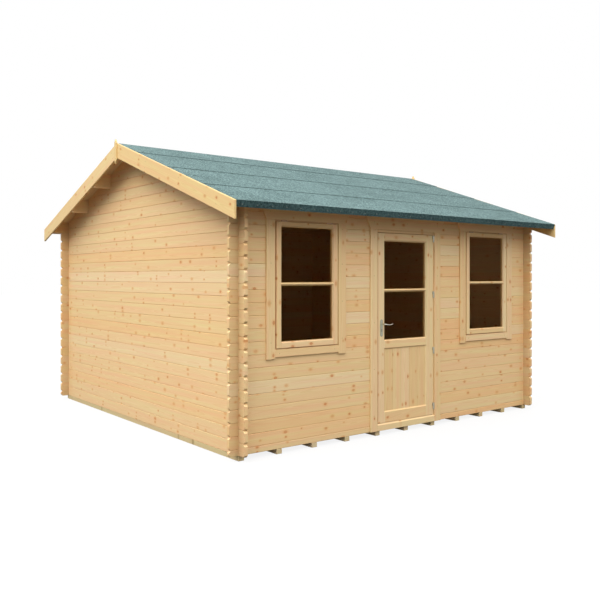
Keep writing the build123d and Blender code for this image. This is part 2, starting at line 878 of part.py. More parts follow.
# Door hinges: each has a lower knuckle on the jamb and an upper one on the leaf, with twelve flats.
hinge_axis_x = door_width / 2 + hinge_plate
hinge_axis_y = -half_depth - door_proud - hinge_radius - seat
knuckle_length = hinge_length / 2
hinge_pitch = (door_height - hinge_from_bottom - hinge_from_top) / (hinge_count - 1)
hinge_heights = [door_bottom + hinge_from_bottom + row * hinge_pitch for row in range(hinge_count)]
with BuildPart() as door_hinges_fixed:
    for middle in hinge_heights:
        with BuildSketch(Plane.XY.offset(middle - knuckle_length)):
            with Locations((hinge_axis_x, hinge_axis_y)):
                RegularPolygon(hinge_radius, knuckle_sides)
            with BuildLine():
                Polyline(
                    (hinge_axis_x + hinge_radius - 2 * hinge_plate, hinge_axis_y),
                    (hinge_axis_x + hinge_radius - hinge_plate, hinge_axis_y),
                    (hinge_axis_x + hinge_radius - hinge_plate, -half_depth - seat),
                    (hinge_axis_x + hinge_radius - 2 * hinge_plate, -half_depth - seat),
                    close=True,
                )
            make_face()
        extrude(amount=knuckle_length - seat)
door_hinges_fixed.part.label = "door_hinges_fixed"
export_step(door_hinges_fixed.part, "parts/door_hinges_fixed.step")

with BuildPart() as door_hinges_moving:
    for middle in hinge_heights:
        with BuildSketch(Plane.XY.offset(middle + seat)):
            with Locations((hinge_axis_x, hinge_axis_y)):
                RegularPolygon(hinge_radius, knuckle_sides)
            with BuildLine():
                Polyline(
                    (hinge_axis_x, -half_depth - door_proud - seat),
                    (hinge_axis_x - hinge_plate_reach, -half_depth - door_proud - seat),
                    (hinge_axis_x - hinge_plate_reach, -half_depth - door_proud - seat - hinge_plate),
                    (hinge_axis_x, -half_depth - door_proud - seat - hinge_plate),
                    close=True,
                )
            make_face()
        extrude(amount=knuckle_length)
door_hinges_moving.part.label = "door_hinges_moving"
export_step(door_hinges_moving.part, "parts/door_hinges_moving.step")

# Handle plates on both faces of the leaf, rounded at both ends.
plate_faces = (
    half_depth + door_proud + seat,
    half_depth + door_proud - door_thickness - seat - handle_plate_thickness,
)
with BuildPart() as handle_plates:
    for face in plate_faces:
        with BuildSketch(Plane.XZ.offset(face)):
            with Locations((spindle_x, spindle_z - handle_plate_drop)):
                SlotOverall(handle_plate_height, handle_plate_width, rotation=90)
            with Locations((spindle_x, spindle_z)):
                Circle(lever_neck_radius + seat, mode=Mode.SUBTRACT)
        extrude(amount=handle_plate_thickness)
handle_plates.part.label = "handle_plates"
export_step(handle_plates.part, "parts/handle_plates.step")

# Lever handles on both faces, joined by a square spindle: each grip dips and rises again to its tip.
outer_start = half_depth + door_proud + seat
inner_start = half_depth + door_proud - door_thickness - seat
grip_start = spindle_x - lever_neck_radius
grip_bend = spindle_x + lever_length / 2
grip_end = spindle_x + lever_length
grip_top = spindle_z + lever_height / 2
grip_base = spindle_z - lever_height / 2
with BuildPart() as door_lever:
    with BuildSketch(Plane.XZ.offset(inner_start)):
        with Locations((spindle_x, spindle_z)):
            Rectangle(spindle_size, spindle_size)
    extrude(amount=outer_start - inner_start)
    for start, side in ((outer_start, 1), (inner_start, -1)):
        with BuildSketch(Plane.XZ.offset(start)):
            with Locations((spindle_x, spindle_z)):
                Circle(lever_neck_radius)
        extrude(amount=side * lever_reach)
        with BuildSketch(Plane.XZ.offset(start + side * (lever_reach - lever_band))):
            with BuildLine():
                Polyline(
                    (spindle_x, grip_base),
                    (grip_start, grip_base),
                    (grip_start, grip_top),
                    (spindle_x, grip_top),
                )
                for edge in (grip_top, grip_base):
                    fall = TangentArc((spindle_x, edge), (grip_bend, edge - lever_dip), tangent=(1, 0))
                    TangentArc(fall @ 1, (grip_end, edge - lever_tip_dip), tangent=fall % 1)
                Line((grip_end, grip_top - lever_tip_dip), (grip_end, grip_base - lever_tip_dip))
            make_face()
        extrude(amount=side * lever_band)
door_lever.part.label = "door_lever"
export_step(door_lever.part, "parts/door_lever.step")
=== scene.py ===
"""Log cabin: the finish of every surface, and the small pieces that the solids leave out.

Metres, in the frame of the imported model: X along the front wall, +Y to the rear, +Z up. The sections
follow the cabin as it is put up, from the bearers to the door furniture.
"""

from math import cos, pi, radians, sin, tan

import bmesh
import bpy
from mathutils import Matrix, Vector


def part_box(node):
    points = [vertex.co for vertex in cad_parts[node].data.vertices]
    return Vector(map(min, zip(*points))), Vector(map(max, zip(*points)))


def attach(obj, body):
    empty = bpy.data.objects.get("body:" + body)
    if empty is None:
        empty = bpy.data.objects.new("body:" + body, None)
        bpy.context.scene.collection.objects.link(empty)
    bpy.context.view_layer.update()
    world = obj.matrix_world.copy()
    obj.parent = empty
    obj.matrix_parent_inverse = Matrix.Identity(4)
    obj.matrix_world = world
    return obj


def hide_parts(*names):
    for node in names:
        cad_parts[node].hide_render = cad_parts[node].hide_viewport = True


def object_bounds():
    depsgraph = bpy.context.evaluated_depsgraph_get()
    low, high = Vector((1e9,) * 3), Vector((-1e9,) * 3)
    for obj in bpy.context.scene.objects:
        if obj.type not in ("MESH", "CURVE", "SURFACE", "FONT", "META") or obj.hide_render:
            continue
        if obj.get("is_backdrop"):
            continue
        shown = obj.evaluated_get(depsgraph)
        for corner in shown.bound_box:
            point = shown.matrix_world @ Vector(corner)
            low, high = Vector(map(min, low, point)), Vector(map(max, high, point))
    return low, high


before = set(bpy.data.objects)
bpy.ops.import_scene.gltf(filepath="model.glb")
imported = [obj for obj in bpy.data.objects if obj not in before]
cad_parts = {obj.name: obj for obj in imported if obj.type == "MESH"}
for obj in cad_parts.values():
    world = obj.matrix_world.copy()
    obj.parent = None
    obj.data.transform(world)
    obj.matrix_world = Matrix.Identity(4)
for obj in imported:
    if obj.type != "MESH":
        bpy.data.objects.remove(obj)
scene = bpy.context.scene
cad_low, cad_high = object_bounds()


# ---- Studio ------------------------------------------------------------------------------------
# The camera stands at a person's eye height, off the left front corner. A sky that is brightest
# overhead leaves soft shade under the roof, and a lamp from the left makes the gable the brighter.

lens_data = bpy.data.cameras.new("camera")
lens_data.lens = 43.16
lens_data.sensor_width = 36
lens_data.shift_y = -0.038
camera = bpy.data.objects.new("camera", lens_data)
camera.location = (-5.3685, -7.1765, 1.5665)
camera.rotation_euler = (radians(90), 0, radians(-37.8))
scene.collection.objects.link(camera)
scene.camera = camera


def to_linear(hex_colour):
    """An sRGB colour such as "c8a878" as linear RGBA."""
    channels = [int(hex_colour[i : i + 2], 16) / 255 for i in (0, 2, 4)]
    linear = [c / 12.92 if c <= 0.04045 else ((c + 0.055) / 1.055) ** 2.4 for c in channels]
    return (*linear, 1.0)


def add_node(tree, kind, *values, **settings):
    """Adds a node to a tree, sets its properties, and fills or links its inputs.

    Values fill the inputs in their order, and a dict fills those that it names. Inputs that share
    their name with others go by number, such as 6 and 7, the two colours of a Mix node. A node that
    is given for an input is linked from the first of its outputs that are in use.
    """
    inputs = values[0] if values and isinstance(values[0], dict) else dict(enumerate(values))
    node = tree.nodes.new(kind)
    for name, value in settings.items():
        setattr(node, name, value)
    for key, value in inputs.items():
        if isinstance(value, bpy.types.Node):
            value = next(output for output in value.outputs if output.enabled)
        if isinstance(value, bpy.types.NodeSocket):
            tree.links.new(value, node.inputs[key])
        else:
            node.inputs[key].default_value = value
    return node


def new_material(name):
    """An empty node material and its tree."""
    material = bpy.data.materials.new(name)
    material.use_nodes = True
    material.node_tree.nodes.clear()
    return material, material.node_tree


def add_lamp(name, watts, size, place, target):
    """A square area light that shines from one point towards another."""
    data = bpy.data.lights.new(name, "AREA")
    data.energy = watts
    data.size = size
    lamp = bpy.data.objects.new(name, data)
    lamp.location = place
    lamp.rotation_euler = (Vector(target) - Vector(place)).to_track_quat("-Z", "Y").to_euler()
    scene.collection.objects.link(lamp)


middle = (cad_low + cad_high) / 2
add_lamp("left_light", watts=1220, size=10.0, place=(-9.5, -3.0, 11.5), target=middle)
add_lamp("front_light", watts=250, size=7.0, place=(-1.5, -10.5, 9.5), target=middle)

# Seen straight, in gloss or through glass, the sky and the floor are the same pure white.
sky = bpy.data.worlds.new("sky")
sky.use_nodes = True
sky.node_tree.nodes.clear()


def add_seen(tree):
    """1 for rays that show what is behind a surface, and 0 for those that light it."""
    path = add_node(tree, "ShaderNodeLightPath")
    seen = add_node(
        tree,
        "ShaderNodeMath",
        path.outputs["Is Camera Ray"],
        path.outputs["Is Glossy Ray"],
        operation="MAXIMUM",
    )
    seen = add_node(tree, "ShaderNodeMath", seen, path.outputs["Is Transmission Ray"], operation="MAXIMUM")
    return seen


sky_place = add_node(sky.node_tree, "ShaderNodeTexCoord")
sky_height = add_node(sky.node_tree, "ShaderNodeSeparateXYZ", sky_place.outputs["Generated"])
overhead = add_node(
    sky.node_tree, "ShaderNodeMapRange", {"Value": sky_height.outputs["Z"], "To Min": 0.32, "To Max": 2.2}
)
sky_strength = add_node(
    sky.node_tree,
    "ShaderNodeMapRange",
    {"Value": add_seen(sky.node_tree), "To Min": overhead, "To Max": 1.0},
)
sky_light = add_node(
    sky.node_tree, "ShaderNodeBackground", {"Color": (1, 1, 1, 1), "Strength": sky_strength}
)
add_node(sky.node_tree, "ShaderNodeOutputWorld", {"Surface": sky_light})
scene.world = sky
scene.view_settings.view_transform = "Standard"

# The floor is a disc of white studio paper, which keeps a soft shadow under the bearers.
floor_form = bmesh.new()
bmesh.ops.create_circle(floor_form, cap_ends=True, segments=96, radius=60)
floor_mesh = bpy.data.meshes.new("studio_floor")
floor_form.to_mesh(floor_mesh)
floor_form.free()
studio_floor = bpy.data.objects.new("studio_floor", floor_mesh)
scene.collection.objects.link(studio_floor)
studio_floor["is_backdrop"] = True

studio_paper, tree = new_material("matt white studio paper")
paper_seen = add_seen(tree)
paper_tone = add_node(
    tree,
    "ShaderNodeMix",
    {"Factor": paper_seen, 6: to_linear("4a4a4a"), 7: to_linear("ffffff")},
    data_type="RGBA",
)
paper_matt = add_node(tree, "ShaderNodeBsdfDiffuse", {"Color": paper_tone})
paper_white = add_node(tree, "ShaderNodeEmission", {"Color": (1, 1, 1, 1), "Strength": 0.96})
glow_share = add_node(tree, "ShaderNodeMath", paper_seen, 0.9, operation="MULTIPLY")
paper_mix = add_node(tree, "ShaderNodeMixShader", {"Fac": glow_share, 1: paper_matt, 2: paper_white})
add_node(tree, "ShaderNodeOutputMaterial", {"Surface": paper_mix})
studio_floor.data.materials.append(studio_paper)


# ---- Bearers -----------------------------------------------------------------------------------
# Eleven sawn softwood joists, pressure treated, which keep the walls off the ground. They run from
# front to rear and their sawn ends show below the front wall.


def is_sharp(edge, least):
    """True where the two faces at an edge meet at more than that many degrees."""
    return len(edge.link_faces) == 2 and edge.calc_face_angle(0) > radians(least)


def connected_groups(form):
    """The vertices of each separate board in a mesh."""
    left = set(form.verts)
    while left:
        group = {left.pop()}
        newest = set(group)
        while newest:
            reached = {e.other_vert(v) for v in newest for e in v.link_edges}
            newest = reached - group
            group |= newest
        left -= group
        yield sorted(group, key=lambda v: v.index)


def note_grain(form):
    """Stores on each board its own directions, so that the grain runs along it.

    The point attribute grain holds metres along the board, across its face and through it, from its
    centre. The attribute board is a different number on each board. The attribute end_grain marks
    the faces that are cut across the grain.
    """
    grain = form.verts.layers.float_vector.new("grain")
    board = form.verts.layers.float.new("board")
    end_grain = form.faces.layers.float.new("end_grain")
    form.verts.index_update()
    for group in connected_groups(form):
        edges = {edge for vert in group for edge in vert.link_edges}
        longest = max(edges, key=lambda edge: round(edge.calc_length(), 4))
        along = (longest.verts[1].co - longest.verts[0].co).normalized()
        if sum(along) < 0:
            along.negate()
        low = Vector([min(vert.co[axis] for vert in group) for axis in range(3)])
        high = Vector([max(vert.co[axis] for vert in group) for axis in range(3)])
        square = [axis for axis in range(3) if abs(along[axis]) < 0.2]
        thin = min(square, key=lambda axis: high[axis] - low[axis])
        through = Vector([float(axis == thin) for axis in range(3)])
        across = through.cross(along).normalized()
        centre = (low + high) / 2
        number = sin(centre.x * 12.9 + centre.y * 78.2 + centre.z * 37.7) * 43758.5 % 1.0
        for vert in group:
            away = vert.co - centre
            vert[grain] = (away.dot(along), away.dot(across), away.dot(through))
            vert[board] = number
        for face in {face for vert in group for face in vert.link_faces}:
            face[end_grain] = float(abs(face.normal.dot(along)) > 0.75)


def place_piece(name, mesh, body="cabin", stands_for=()):
    """Puts a finished mesh in the scene, on its body, and hides the CAD nodes that it stands for."""
    piece = bpy.data.objects.new(name, mesh)
    scene.collection.objects.link(piece)
    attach(piece, body)
    if stands_for:
        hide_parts(*stands_for)


def copy_of(node):
    """A CAD node's solids as one closed mesh, without the edges inside their flat faces."""
    form = bmesh.new()
    form.from_mesh(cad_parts[node].data)
    bmesh.ops.remove_doubles(form, verts=form.verts, dist=0.00002)
    bmesh.ops.dissolve_limit(form, angle_limit=radians(0.5), verts=form.verts, edges=form.edges)
    return form


def ease_arrises(form, arris, least=50):
    """Takes the sharpness off the edges of planed wood, as a plane or a brush does."""
    sharp = [edge for edge in form.edges if is_sharp(edge, least)]
    bmesh.ops.bevel(form, geom=sharp, offset=arris, segments=1, affect="EDGES", clamp_overlap=True)


def place_boards(form, name, timber, body="cabin", stands_for=()):
    """Notes the grain of the boards in a form and puts them in the scene, in that timber."""
    note_grain(form)
    mesh = bpy.data.meshes.new(name)
    form.to_mesh(mesh)
    form.free()
    mesh.materials.append(timber)
    place_piece(name, mesh, body, stands_for)


def plane_boards(node, name, timber, arris, body="cabin"):
    """Puts a CAD node's boards in the scene as they leave the plane, with their arrises eased."""
    boards = copy_of(node)
    if arris:
        ease_arrises(boards, arris)
    place_boards(boards, name, timber, body, stands_for=[node])


def add_streaks(tree, place, fineness, detail, roughness=0.5):
    """Fibres or brush marks: a pattern drawn out along the axes on which it is less fine.

    fineness is in marks to a metre along X, Y and Z.
    """
    drawn = add_node(tree, "ShaderNodeMapping", {"Vector": place, "Scale": fineness})
    settings = {"Vector": drawn, "Scale": 1.0, "Detail": detail, "Roughness": roughness}
    return add_node(tree, "ShaderNodeTexNoise", settings)


def set_stops(ramp, stops):
    """Sets the stops of a colour ramp, each given as its place and its colour."""
    elements = ramp.color_ramp.elements
    for number, (place, colour) in enumerate(stops):
        stop = elements[number] if number < 2 else elements.new(place)
        stop.position = place
        stop.color = colour


def softwood(name, pale, warm, resin, knot, tones, gloss, joint_pitch=None, wall_faces=None):
    """A planed softwood board, solid through its thickness.

    Growth rings run round a pith behind the board's face, so that they show as long flames on the
    face and as arcs on the end. Knots come in whorls, and the rings part round them. Each board has
    its own tone. For logs, joint_pitch is their height, and the joints that the attribute seam
    counts are browner, partly as dust and resin gather in them and partly as painted shade of the
    groove. The nooks past wall_faces, which is how far the walls' outer faces lie from the middle,
    are darkened with painted shade.
    """
    material, tree = new_material(name)
    grain, board, end_grain = (
        add_node(tree, "ShaderNodeAttribute", attribute_name=name)
        for name in ("grain", "board", "end_grain")
    )
    # A different stretch of the trunk for each board.
    shift = add_node(
        tree, "ShaderNodeVectorMath", board.outputs["Vector"], (41.0, 13.0, 7.0), operation="MULTIPLY"
    )
    place = add_node(tree, "ShaderNodeVectorMath", grain.outputs["Vector"], shift, operation="ADD")
    # Knots: a whorl to each 230 mm of trunk, and in it at most one knot to each 46 mm of width.
    knot_cell = (0.23, 0.046, 1.0)
    knot_share = 0.32
    cells = add_node(tree, "ShaderNodeVectorMath", place, knot_cell, operation="DIVIDE")
    cell = add_node(tree, "ShaderNodeVectorMath", cells, operation="FLOOR")
    inside = add_node(tree, "ShaderNodeVectorMath", cells, operation="FRACTION")
    whorl = add_node(tree, "ShaderNodeVectorMath", cell, (1.0, 0.0, 0.0), operation="MULTIPLY")
    whorl_chance = add_node(tree, "ShaderNodeTexWhiteNoise", {"Vector": whorl})
    knot_chance = add_node(tree, "ShaderNodeTexWhiteNoise", {"Vector": cell})
    knot_random = add_node(tree, "ShaderNodeSeparateColor", knot_chance.outputs["Color"])
    knot_along = add_node(tree, "ShaderNodeMath", whorl_chance, 0.55, 0.18, operation="MULTIPLY_ADD")
    knot_along = add_node(
        tree, "ShaderNodeMath", knot_random.outputs[1], 0.09, knot_along, operation="MULTIPLY_ADD"
    )
    knot_across = add_node(
        tree, "ShaderNodeMath", knot_random.outputs[0], 0.5, 0.25, operation="MULTIPLY_ADD"
    )
    knot_centre = add_node(tree, "ShaderNodeCombineXYZ", knot_along, knot_across)
    from_knot = add_node(tree, "ShaderNodeVectorMath", inside, knot_centre, operation="SUBTRACT")
    from_knot = add_node(
        tree,
        "ShaderNodeVectorMath",
        from_knot,
        (knot_cell[0] * 0.7, knot_cell[1], 0.0),
        operation="MULTIPLY",
    )
    ragged = add_node(tree, "ShaderNodeTexNoise", {"Vector": place, "Scale": 190.0, "Detail": 1.0})
    knot_distance = add_node(tree, "ShaderNodeVectorMath", from_knot, operation="LENGTH")
    knot_distance = add_node(tree, "ShaderNodeMath", ragged, 0.004, knot_distance, operation="MULTIPLY_ADD")
    knot_size = add_node(
        tree,
        "ShaderNodeMapRange",
        {
            "Value": knot_random.outputs[2],
            "From Min": 1 - knot_share,
            "From Max": 1.0,
            "To Min": 0.006,
            "To Max": 0.0135,
        },
    )
    # Most knots are pale and sound, and a few are dark.
    knot_there = add_node(
        tree, "ShaderNodeMath", knot_random.outputs[2], 1 - knot_share, operation="GREATER_THAN"
    )
    knot_depth = add_node(
        tree,
        "ShaderNodeMapRange",
        {"Value": knot_random.outputs[1], "From Min": 0.3, "To Min": 0.3, "To Max": 0.85},
        interpolation_type="SMOOTHSTEP",
    )
    knot_depth = add_node(tree, "ShaderNodeMath", knot_depth, knot_there, operation="MULTIPLY")
    knot_reach = add_node(tree, "ShaderNodeMath", knot_distance, knot_size, operation="DIVIDE")
    # A knot is dark at its rim, where its bark was, and paler inside.
    knot_section = add_node(tree, "ShaderNodeMath", knot_reach, 0.5, operation="MULTIPLY", use_clamp=True)
    knot_core = add_node(tree, "ShaderNodeValToRGB", {"Fac": knot_section})
    knot_depths = ((0.0, 0.8), (0.3, 0.55), (0.42, 0.95), (0.62, 0.0))
    set_stops(knot_core, [(reach, (depth, depth, depth, 1.0)) for reach, depth in knot_depths])
    knot_core = add_node(tree, "ShaderNodeMath", knot_core, knot_depth, operation="MULTIPLY")
    knot_halo = add_node(
        tree,
        "ShaderNodeMapRange",
        {"Value": knot_reach, "From Min": 2.7, "From Max": 0.8, "To Max": knot_there},
        interpolation_type="SMOOTHSTEP",
    )
    # The pith wanders along the trunk, and the rings bulge round each knot.
    wander = add_streaks(tree, place, (1.1, 0.0, 0.0), 2.0)
    wander = add_node(
        tree,
        "ShaderNodeVectorMath",
        wander.outputs["Color"],
        (0.0, 0.07, 0.05),
        (0.0, -0.02, 0.03),
        operation="MULTIPLY_ADD",
    )
    bulge = add_node(tree, "ShaderNodeVectorMath", {0: from_knot, "Scale": knot_halo}, operation="SCALE")
    from_pith = grain.outputs["Vector"]
    for change, by in (("ADD", wander), ("SUBTRACT", bulge), ("MULTIPLY", (0.0, 1.0, 1.0))):
        from_pith = add_node(tree, "ShaderNodeVectorMath", from_pith, by, operation=change)
    radius = add_node(tree, "ShaderNodeVectorMath", from_pith, operation="LENGTH")
    # A ring to each 5 mm, which is as fine as shows.
    ring_phase = add_node(tree, "ShaderNodeMath", radius, 200.0, operation="MULTIPLY")
    ring = add_node(tree, "ShaderNodeMath", ring_phase, operation="FRACT")
    summer_wood = add_node(
        tree,
        "ShaderNodeMapRange",
        {"Value": ring, "From Min": 0.25, "From Max": 0.95},
        interpolation_type="SMOOTHSTEP",
    )
    # Fibres a few millimetres wide and a hand or two long, and broader streaks a metre long.
    fibre = add_streaks(tree, place, (3.0, 130.0, 130.0), 4.0, 0.6)
    streak = add_streaks(tree, place, (0.9, 26.0, 26.0), 2.0)
    # Colour, from the pale early wood to the warmer late wood.
    rings_and_fibre = add_node(tree, "ShaderNodeMath", summer_wood, 0.26, -0.08, operation="MULTIPLY_ADD")
    warmth = add_node(tree, "ShaderNodeMath", fibre, 0.5, rings_and_fibre, operation="MULTIPLY_ADD")
    warmth = add_node(
        tree,
        "ShaderNodeMath",
        end_grain.outputs["Fac"],
        0.15,
        warmth,
        operation="MULTIPLY_ADD",
        use_clamp=True,
    )
    wood = add_node(
        tree, "ShaderNodeMix", {"Factor": warmth, 6: to_linear(pale), 7: to_linear(warm)}, data_type="RGBA"
    )
    # Boards differ: some are pinker, some yellower or paler.
    tone = add_node(tree, "ShaderNodeValToRGB", {"Fac": board.outputs["Fac"]})
    set_stops(tone, [(n / (len(tones) - 1), to_linear(tint)) for n, tint in enumerate(tones)])
    toned = add_node(
        tree, "ShaderNodeMix", {"Factor": 1.0, 6: wood, 7: tone}, data_type="RGBA", blend_type="MULTIPLY"
    )
    streak_share = add_node(
        tree, "ShaderNodeMapRange", {"Value": streak, "From Min": 0.32, "From Max": 0.68}
    )
    streak_tone = add_node(
        tree,
        "ShaderNodeMix",
        {"Factor": streak_share, 6: to_linear("ffeeda"), 7: to_linear("fdfbe0")},
        data_type="RGBA",
    )
    wood_colour = add_node(
        tree,
        "ShaderNodeMix",
        {"Factor": 1.0, 6: toned, 7: streak_tone},
        data_type="RGBA",
        blend_type="MULTIPLY",
    )
    stained = add_node(tree, "ShaderNodeMath", knot_halo, 0.42, operation="MULTIPLY")
    for share, tint in ((stained, resin), (knot_core, knot)):
        wood_colour = add_node(
            tree, "ShaderNodeMix", {"Factor": share, 6: wood_colour, 7: to_linear(tint)}, data_type="RGBA"
        )
    if joint_pitch:
        seam = add_node(tree, "ShaderNodeAttribute", attribute_name="seam")
        from_seam = seam.outputs["Fac"]
        for change, by in (("FRACT", 0.5), ("SUBTRACT", 0.5), ("ABSOLUTE", 0.5)):
            from_seam = add_node(tree, "ShaderNodeMath", from_seam, by, operation=change)
        # Dust and painted shade of the groove, 6 mm to each side of a joint.
        seam_shade_and_dust = add_node(
            tree,
            "ShaderNodeMapRange",
            {
                "Value": from_seam,
                "From Min": 0.006 / joint_pitch,
                "From Max": 0.002 / joint_pitch,
                "To Max": 0.12,
            },
        )
        wood_colour = add_node(
            tree,
            "ShaderNodeMix",
            {"Factor": seam_shade_and_dust, 6: wood_colour, 7: to_linear("b88650")},
            data_type="RGBA",
        )
        # Painted shade: the nooks behind the crossed tips are darkened, most where the two walls meet.
        no_shift = (0.0, 0.0, 0.0)
        past_wall = add_node(tree, "ShaderNodeTexCoord").outputs["Object"]
        for change, by in (("ABSOLUTE", no_shift), ("SUBTRACT", wall_faces), ("MAXIMUM", no_shift)):
            past_wall = add_node(tree, "ShaderNodeVectorMath", past_wall, by, operation=change)
        facing = add_node(tree, "ShaderNodeNewGeometry")
        facing = add_node(tree, "ShaderNodeVectorMath", facing.outputs["Normal"], operation="ABSOLUTE")
        facing = add_node(tree, "ShaderNodeSeparateXYZ", facing)
        looks_across = add_node(tree, "ShaderNodeCombineXYZ", facing.outputs["Y"], facing.outputs["X"])
        into_nook = add_node(tree, "ShaderNodeVectorMath", past_wall, looks_across, operation="DOT_PRODUCT")
        nook_painted_shade = add_node(
            tree,
            "ShaderNodeMapRange",
            {"Value": into_nook, "From Min": 0.0, "From Max": 0.09, "To Min": 0.3, "To Max": 0.14},
        )
        in_nook = add_node(tree, "ShaderNodeMath", into_nook, 0.0005, operation="GREATER_THAN")
        nook_painted_shade = add_node(tree, "ShaderNodeMath", nook_painted_shade, in_nook, operation="MULTIPLY")
        wood_colour = add_node(
            tree,
            "ShaderNodeMix",
            {"Factor": nook_painted_shade, 6: wood_colour, 7: to_linear("5f4a30")},
            data_type="RGBA",
        )
    relief = add_node(tree, "ShaderNodeMath", fibre, 0.5, summer_wood, operation="MULTIPLY_ADD")
    bump = add_node(tree, "ShaderNodeBump", {"Strength": 0.25, "Distance": 0.0004, "Height": relief})
    dull = add_node(
        tree, "ShaderNodeMapRange", {"Value": warmth, "To Min": gloss + 0.06, "To Max": gloss - 0.06}
    )
    shader = add_node(
        tree,
        "ShaderNodeBsdfPrincipled",
        {"Base Color": wood_colour, "Roughness": dull, "Specular IOR Level": 0.3, "Normal": bump},
    )
    add_node(tree, "ShaderNodeOutputMaterial", {"Surface": shader})
    return material


# Treated wood is greyer than planed pine, and the saw leaves it dull.
treated_timber = softwood(
    "pressure treated sawn timber",
    pale="e6d8c0",
    warm="c8b799",
    resin="b08f5e",
    knot="7c6844",
    tones=("ffffff", "f2f0e6", "f7f0e2"),
    gloss=0.8,
)
plane_boards("bearers", "bearer_joists", treated_timber, arris=0.001)


# ---- Log walls ---------------------------------------------------------------------------------
# Planed spruce wall logs with a tongue, a groove and a bevelled edge, notched over one another at
# the corners. They are left bare, so that each has the tone of its own tree.

log_height = 0.113
wall_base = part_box("left_gable_wall")[0].z
log_tones = ("fff2e0", "fffaf0", "fbf4e4", "ffffff", "fbf6e4", "ffedd9", "fdf7ec", "faf3e5")
wall_spruce = softwood(
    "planed spruce wall log",
    pale="f4e0c6",
    warm="e3c49a",
    resin="e3a45e",
    knot="c76a2a",
    tones=log_tones,
    gloss=0.62,
    joint_pitch=log_height,
    wall_faces=(2.035, 2.025, 9.0),
)
# The long walls start with half a log, so their joints are half a log above those of the gables.
long_walls = ("front_wall_left", "front_wall_right", "front_wall_top", "rear_wall")
gables = ("left_gable_wall", "right_gable_wall", "left_gable_peak", "right_gable_peak")
for node in long_walls + gables:
    first_joint = 0.5 if node in long_walls else 0.0
    logs = copy_of(node)
    ease_arrises(logs, 0.001, least=60)
    seam = logs.verts.layers.float.new("seam")
    for vert in logs.verts:
        vert[seam] = (vert.co.z - wall_base) / log_height - first_joint + 0.5
    place_boards(logs, f"{node}_logs", wall_spruce, stands_for=[node])


# ---- Floor -------------------------------------------------------------------------------------
# Planed pine boards laid along the front wall, over the bearers. The first one is notched for the
# doorway, so it is sawn from the solid, and the others are one board repeated.

# The plane leaves pine pale and faintly glossy, with its rings and knots clear.
board_tones = ("fff6ec", "ffffff", "fcf5e8", "fffaf2", "f8efdf")
planed_pine = softwood(
    "planed pine board",
    pale="f3e0c3",
    warm="e0c197",
    resin="e0a15e",
    knot="c0632a",
    tones=board_tones,
    gloss=0.6,
)


def clip_board(source, low, high):
    """The part of a form between two corners, closed where it is sawn. None leaves a side as it is."""
    form = source.copy()
    for corner, side in ((low, -1.0), (high, 1.0)):
        for axis in range(3):
            if corner[axis] is None:
                continue
            bmesh.ops.bisect_plane(
                form,
                geom=form.verts[:] + form.edges[:] + form.faces[:],
                dist=0.00001,
                plane_co=[corner[axis] if n == axis else 0.0 for n in range(3)],
                plane_no=[side if n == axis else 0.0 for n in range(3)],
                clear_outer=True,
            )
            open_edges = [edge for edge in form.edges if edge.is_boundary]
            bmesh.ops.holes_fill(form, edges=open_edges, sides=0)
    return form


def join_forms(forms):
    """One form that holds several."""
    whole = bmesh.new()
    for form in forms:
        part = bpy.data.meshes.new("part")
        form.to_mesh(part)
        form.free()
        whole.from_mesh(part)
        bpy.data.meshes.remove(part)
    return whole


def new_geometry_tree(name, **inputs):
    """A Geometry Nodes tree with named inputs, and the sockets that give them."""
    tree = bpy.data.node_groups.new(name, "GeometryNodeTree")
    tree.is_modifier = True
    for label, kind in inputs.items():
        tree.interface.new_socket(label, in_out="INPUT", socket_type=f"NodeSocket{kind}")
    tree.interface.new_socket("Geometry", in_out="OUTPUT", socket_type="NodeSocketGeometry")
    return tree, add_node(tree, "NodeGroupInput").outputs


def grow(tree, name, base=None, **values):
    """Runs a Geometry Nodes tree and gives its result as a plain mesh."""
    holder = bpy.data.objects.new(name, base or bpy.data.meshes.new(name))
    scene.collection.objects.link(holder)
    modifier = holder.modifiers.new(name, "NODES")
    modifier.node_group = tree
    for item in tree.interface.items_tree:
        if item.in_out == "INPUT" and item.name in values:
            modifier[item.identifier] = values[item.name]
    holder.update_tag()
    graph = bpy.context.evaluated_depsgraph_get()
    mesh = bpy.data.meshes.new_from_object(holder.evaluated_get(graph))
    mesh.name = name
    bpy.data.objects.remove(holder)
    return mesh


# A row of equal boards, each swept along X and laid beside the last along Y.
board_row, given = new_geometry_tree(
    "row of boards",
    Count="Int",
    Length="Float",
    Pitch="Float",
    Thickness="Float",
    Gap="Float",
    Arris="Float",
    Seed="Int",
    Material="Material",
)
half_length = add_node(board_row, "ShaderNodeMath", given["Length"], 0.5, operation="MULTIPLY")
other_end = add_node(board_row, "ShaderNodeMath", given["Length"], -0.5, operation="MULTIPLY")
board_start = add_node(board_row, "ShaderNodeCombineXYZ", other_end)
board_end = add_node(board_row, "ShaderNodeCombineXYZ", half_length)
run = add_node(board_row, "GeometryNodeCurvePrimitiveLine", {"Start": board_start, "End": board_end})
board_width = add_node(board_row, "ShaderNodeMath", given["Pitch"], given["Gap"], operation="SUBTRACT")
section = add_node(
    board_row,
    "GeometryNodeCurvePrimitiveQuadrilateral",
    {"Width": board_width, "Height": given["Thickness"]},
)
section = add_node(
    board_row,
    "GeometryNodeFilletCurve",
    {"Curve": section, "Count": 1, "Radius": given["Arris"]},
    mode="POLY",
)
one_board = add_node(
    board_row, "GeometryNodeCurveToMesh", {"Curve": run, "Profile Curve": section, "Fill Caps": True}
)
one_board = add_node(board_row, "GeometryNodeSetShadeSmooth", {0: one_board, "Shade Smooth": False})
along_board = add_node(board_row, "GeometryNodeInputPosition")
one_board = add_node(
    board_row,
    "GeometryNodeStoreNamedAttribute",
    {"Geometry": one_board, "Name": "grain", "Value": along_board},
    data_type="FLOAT_VECTOR",
    domain="POINT",
)
board_facing = add_node(board_row, "GeometryNodeInputNormal")
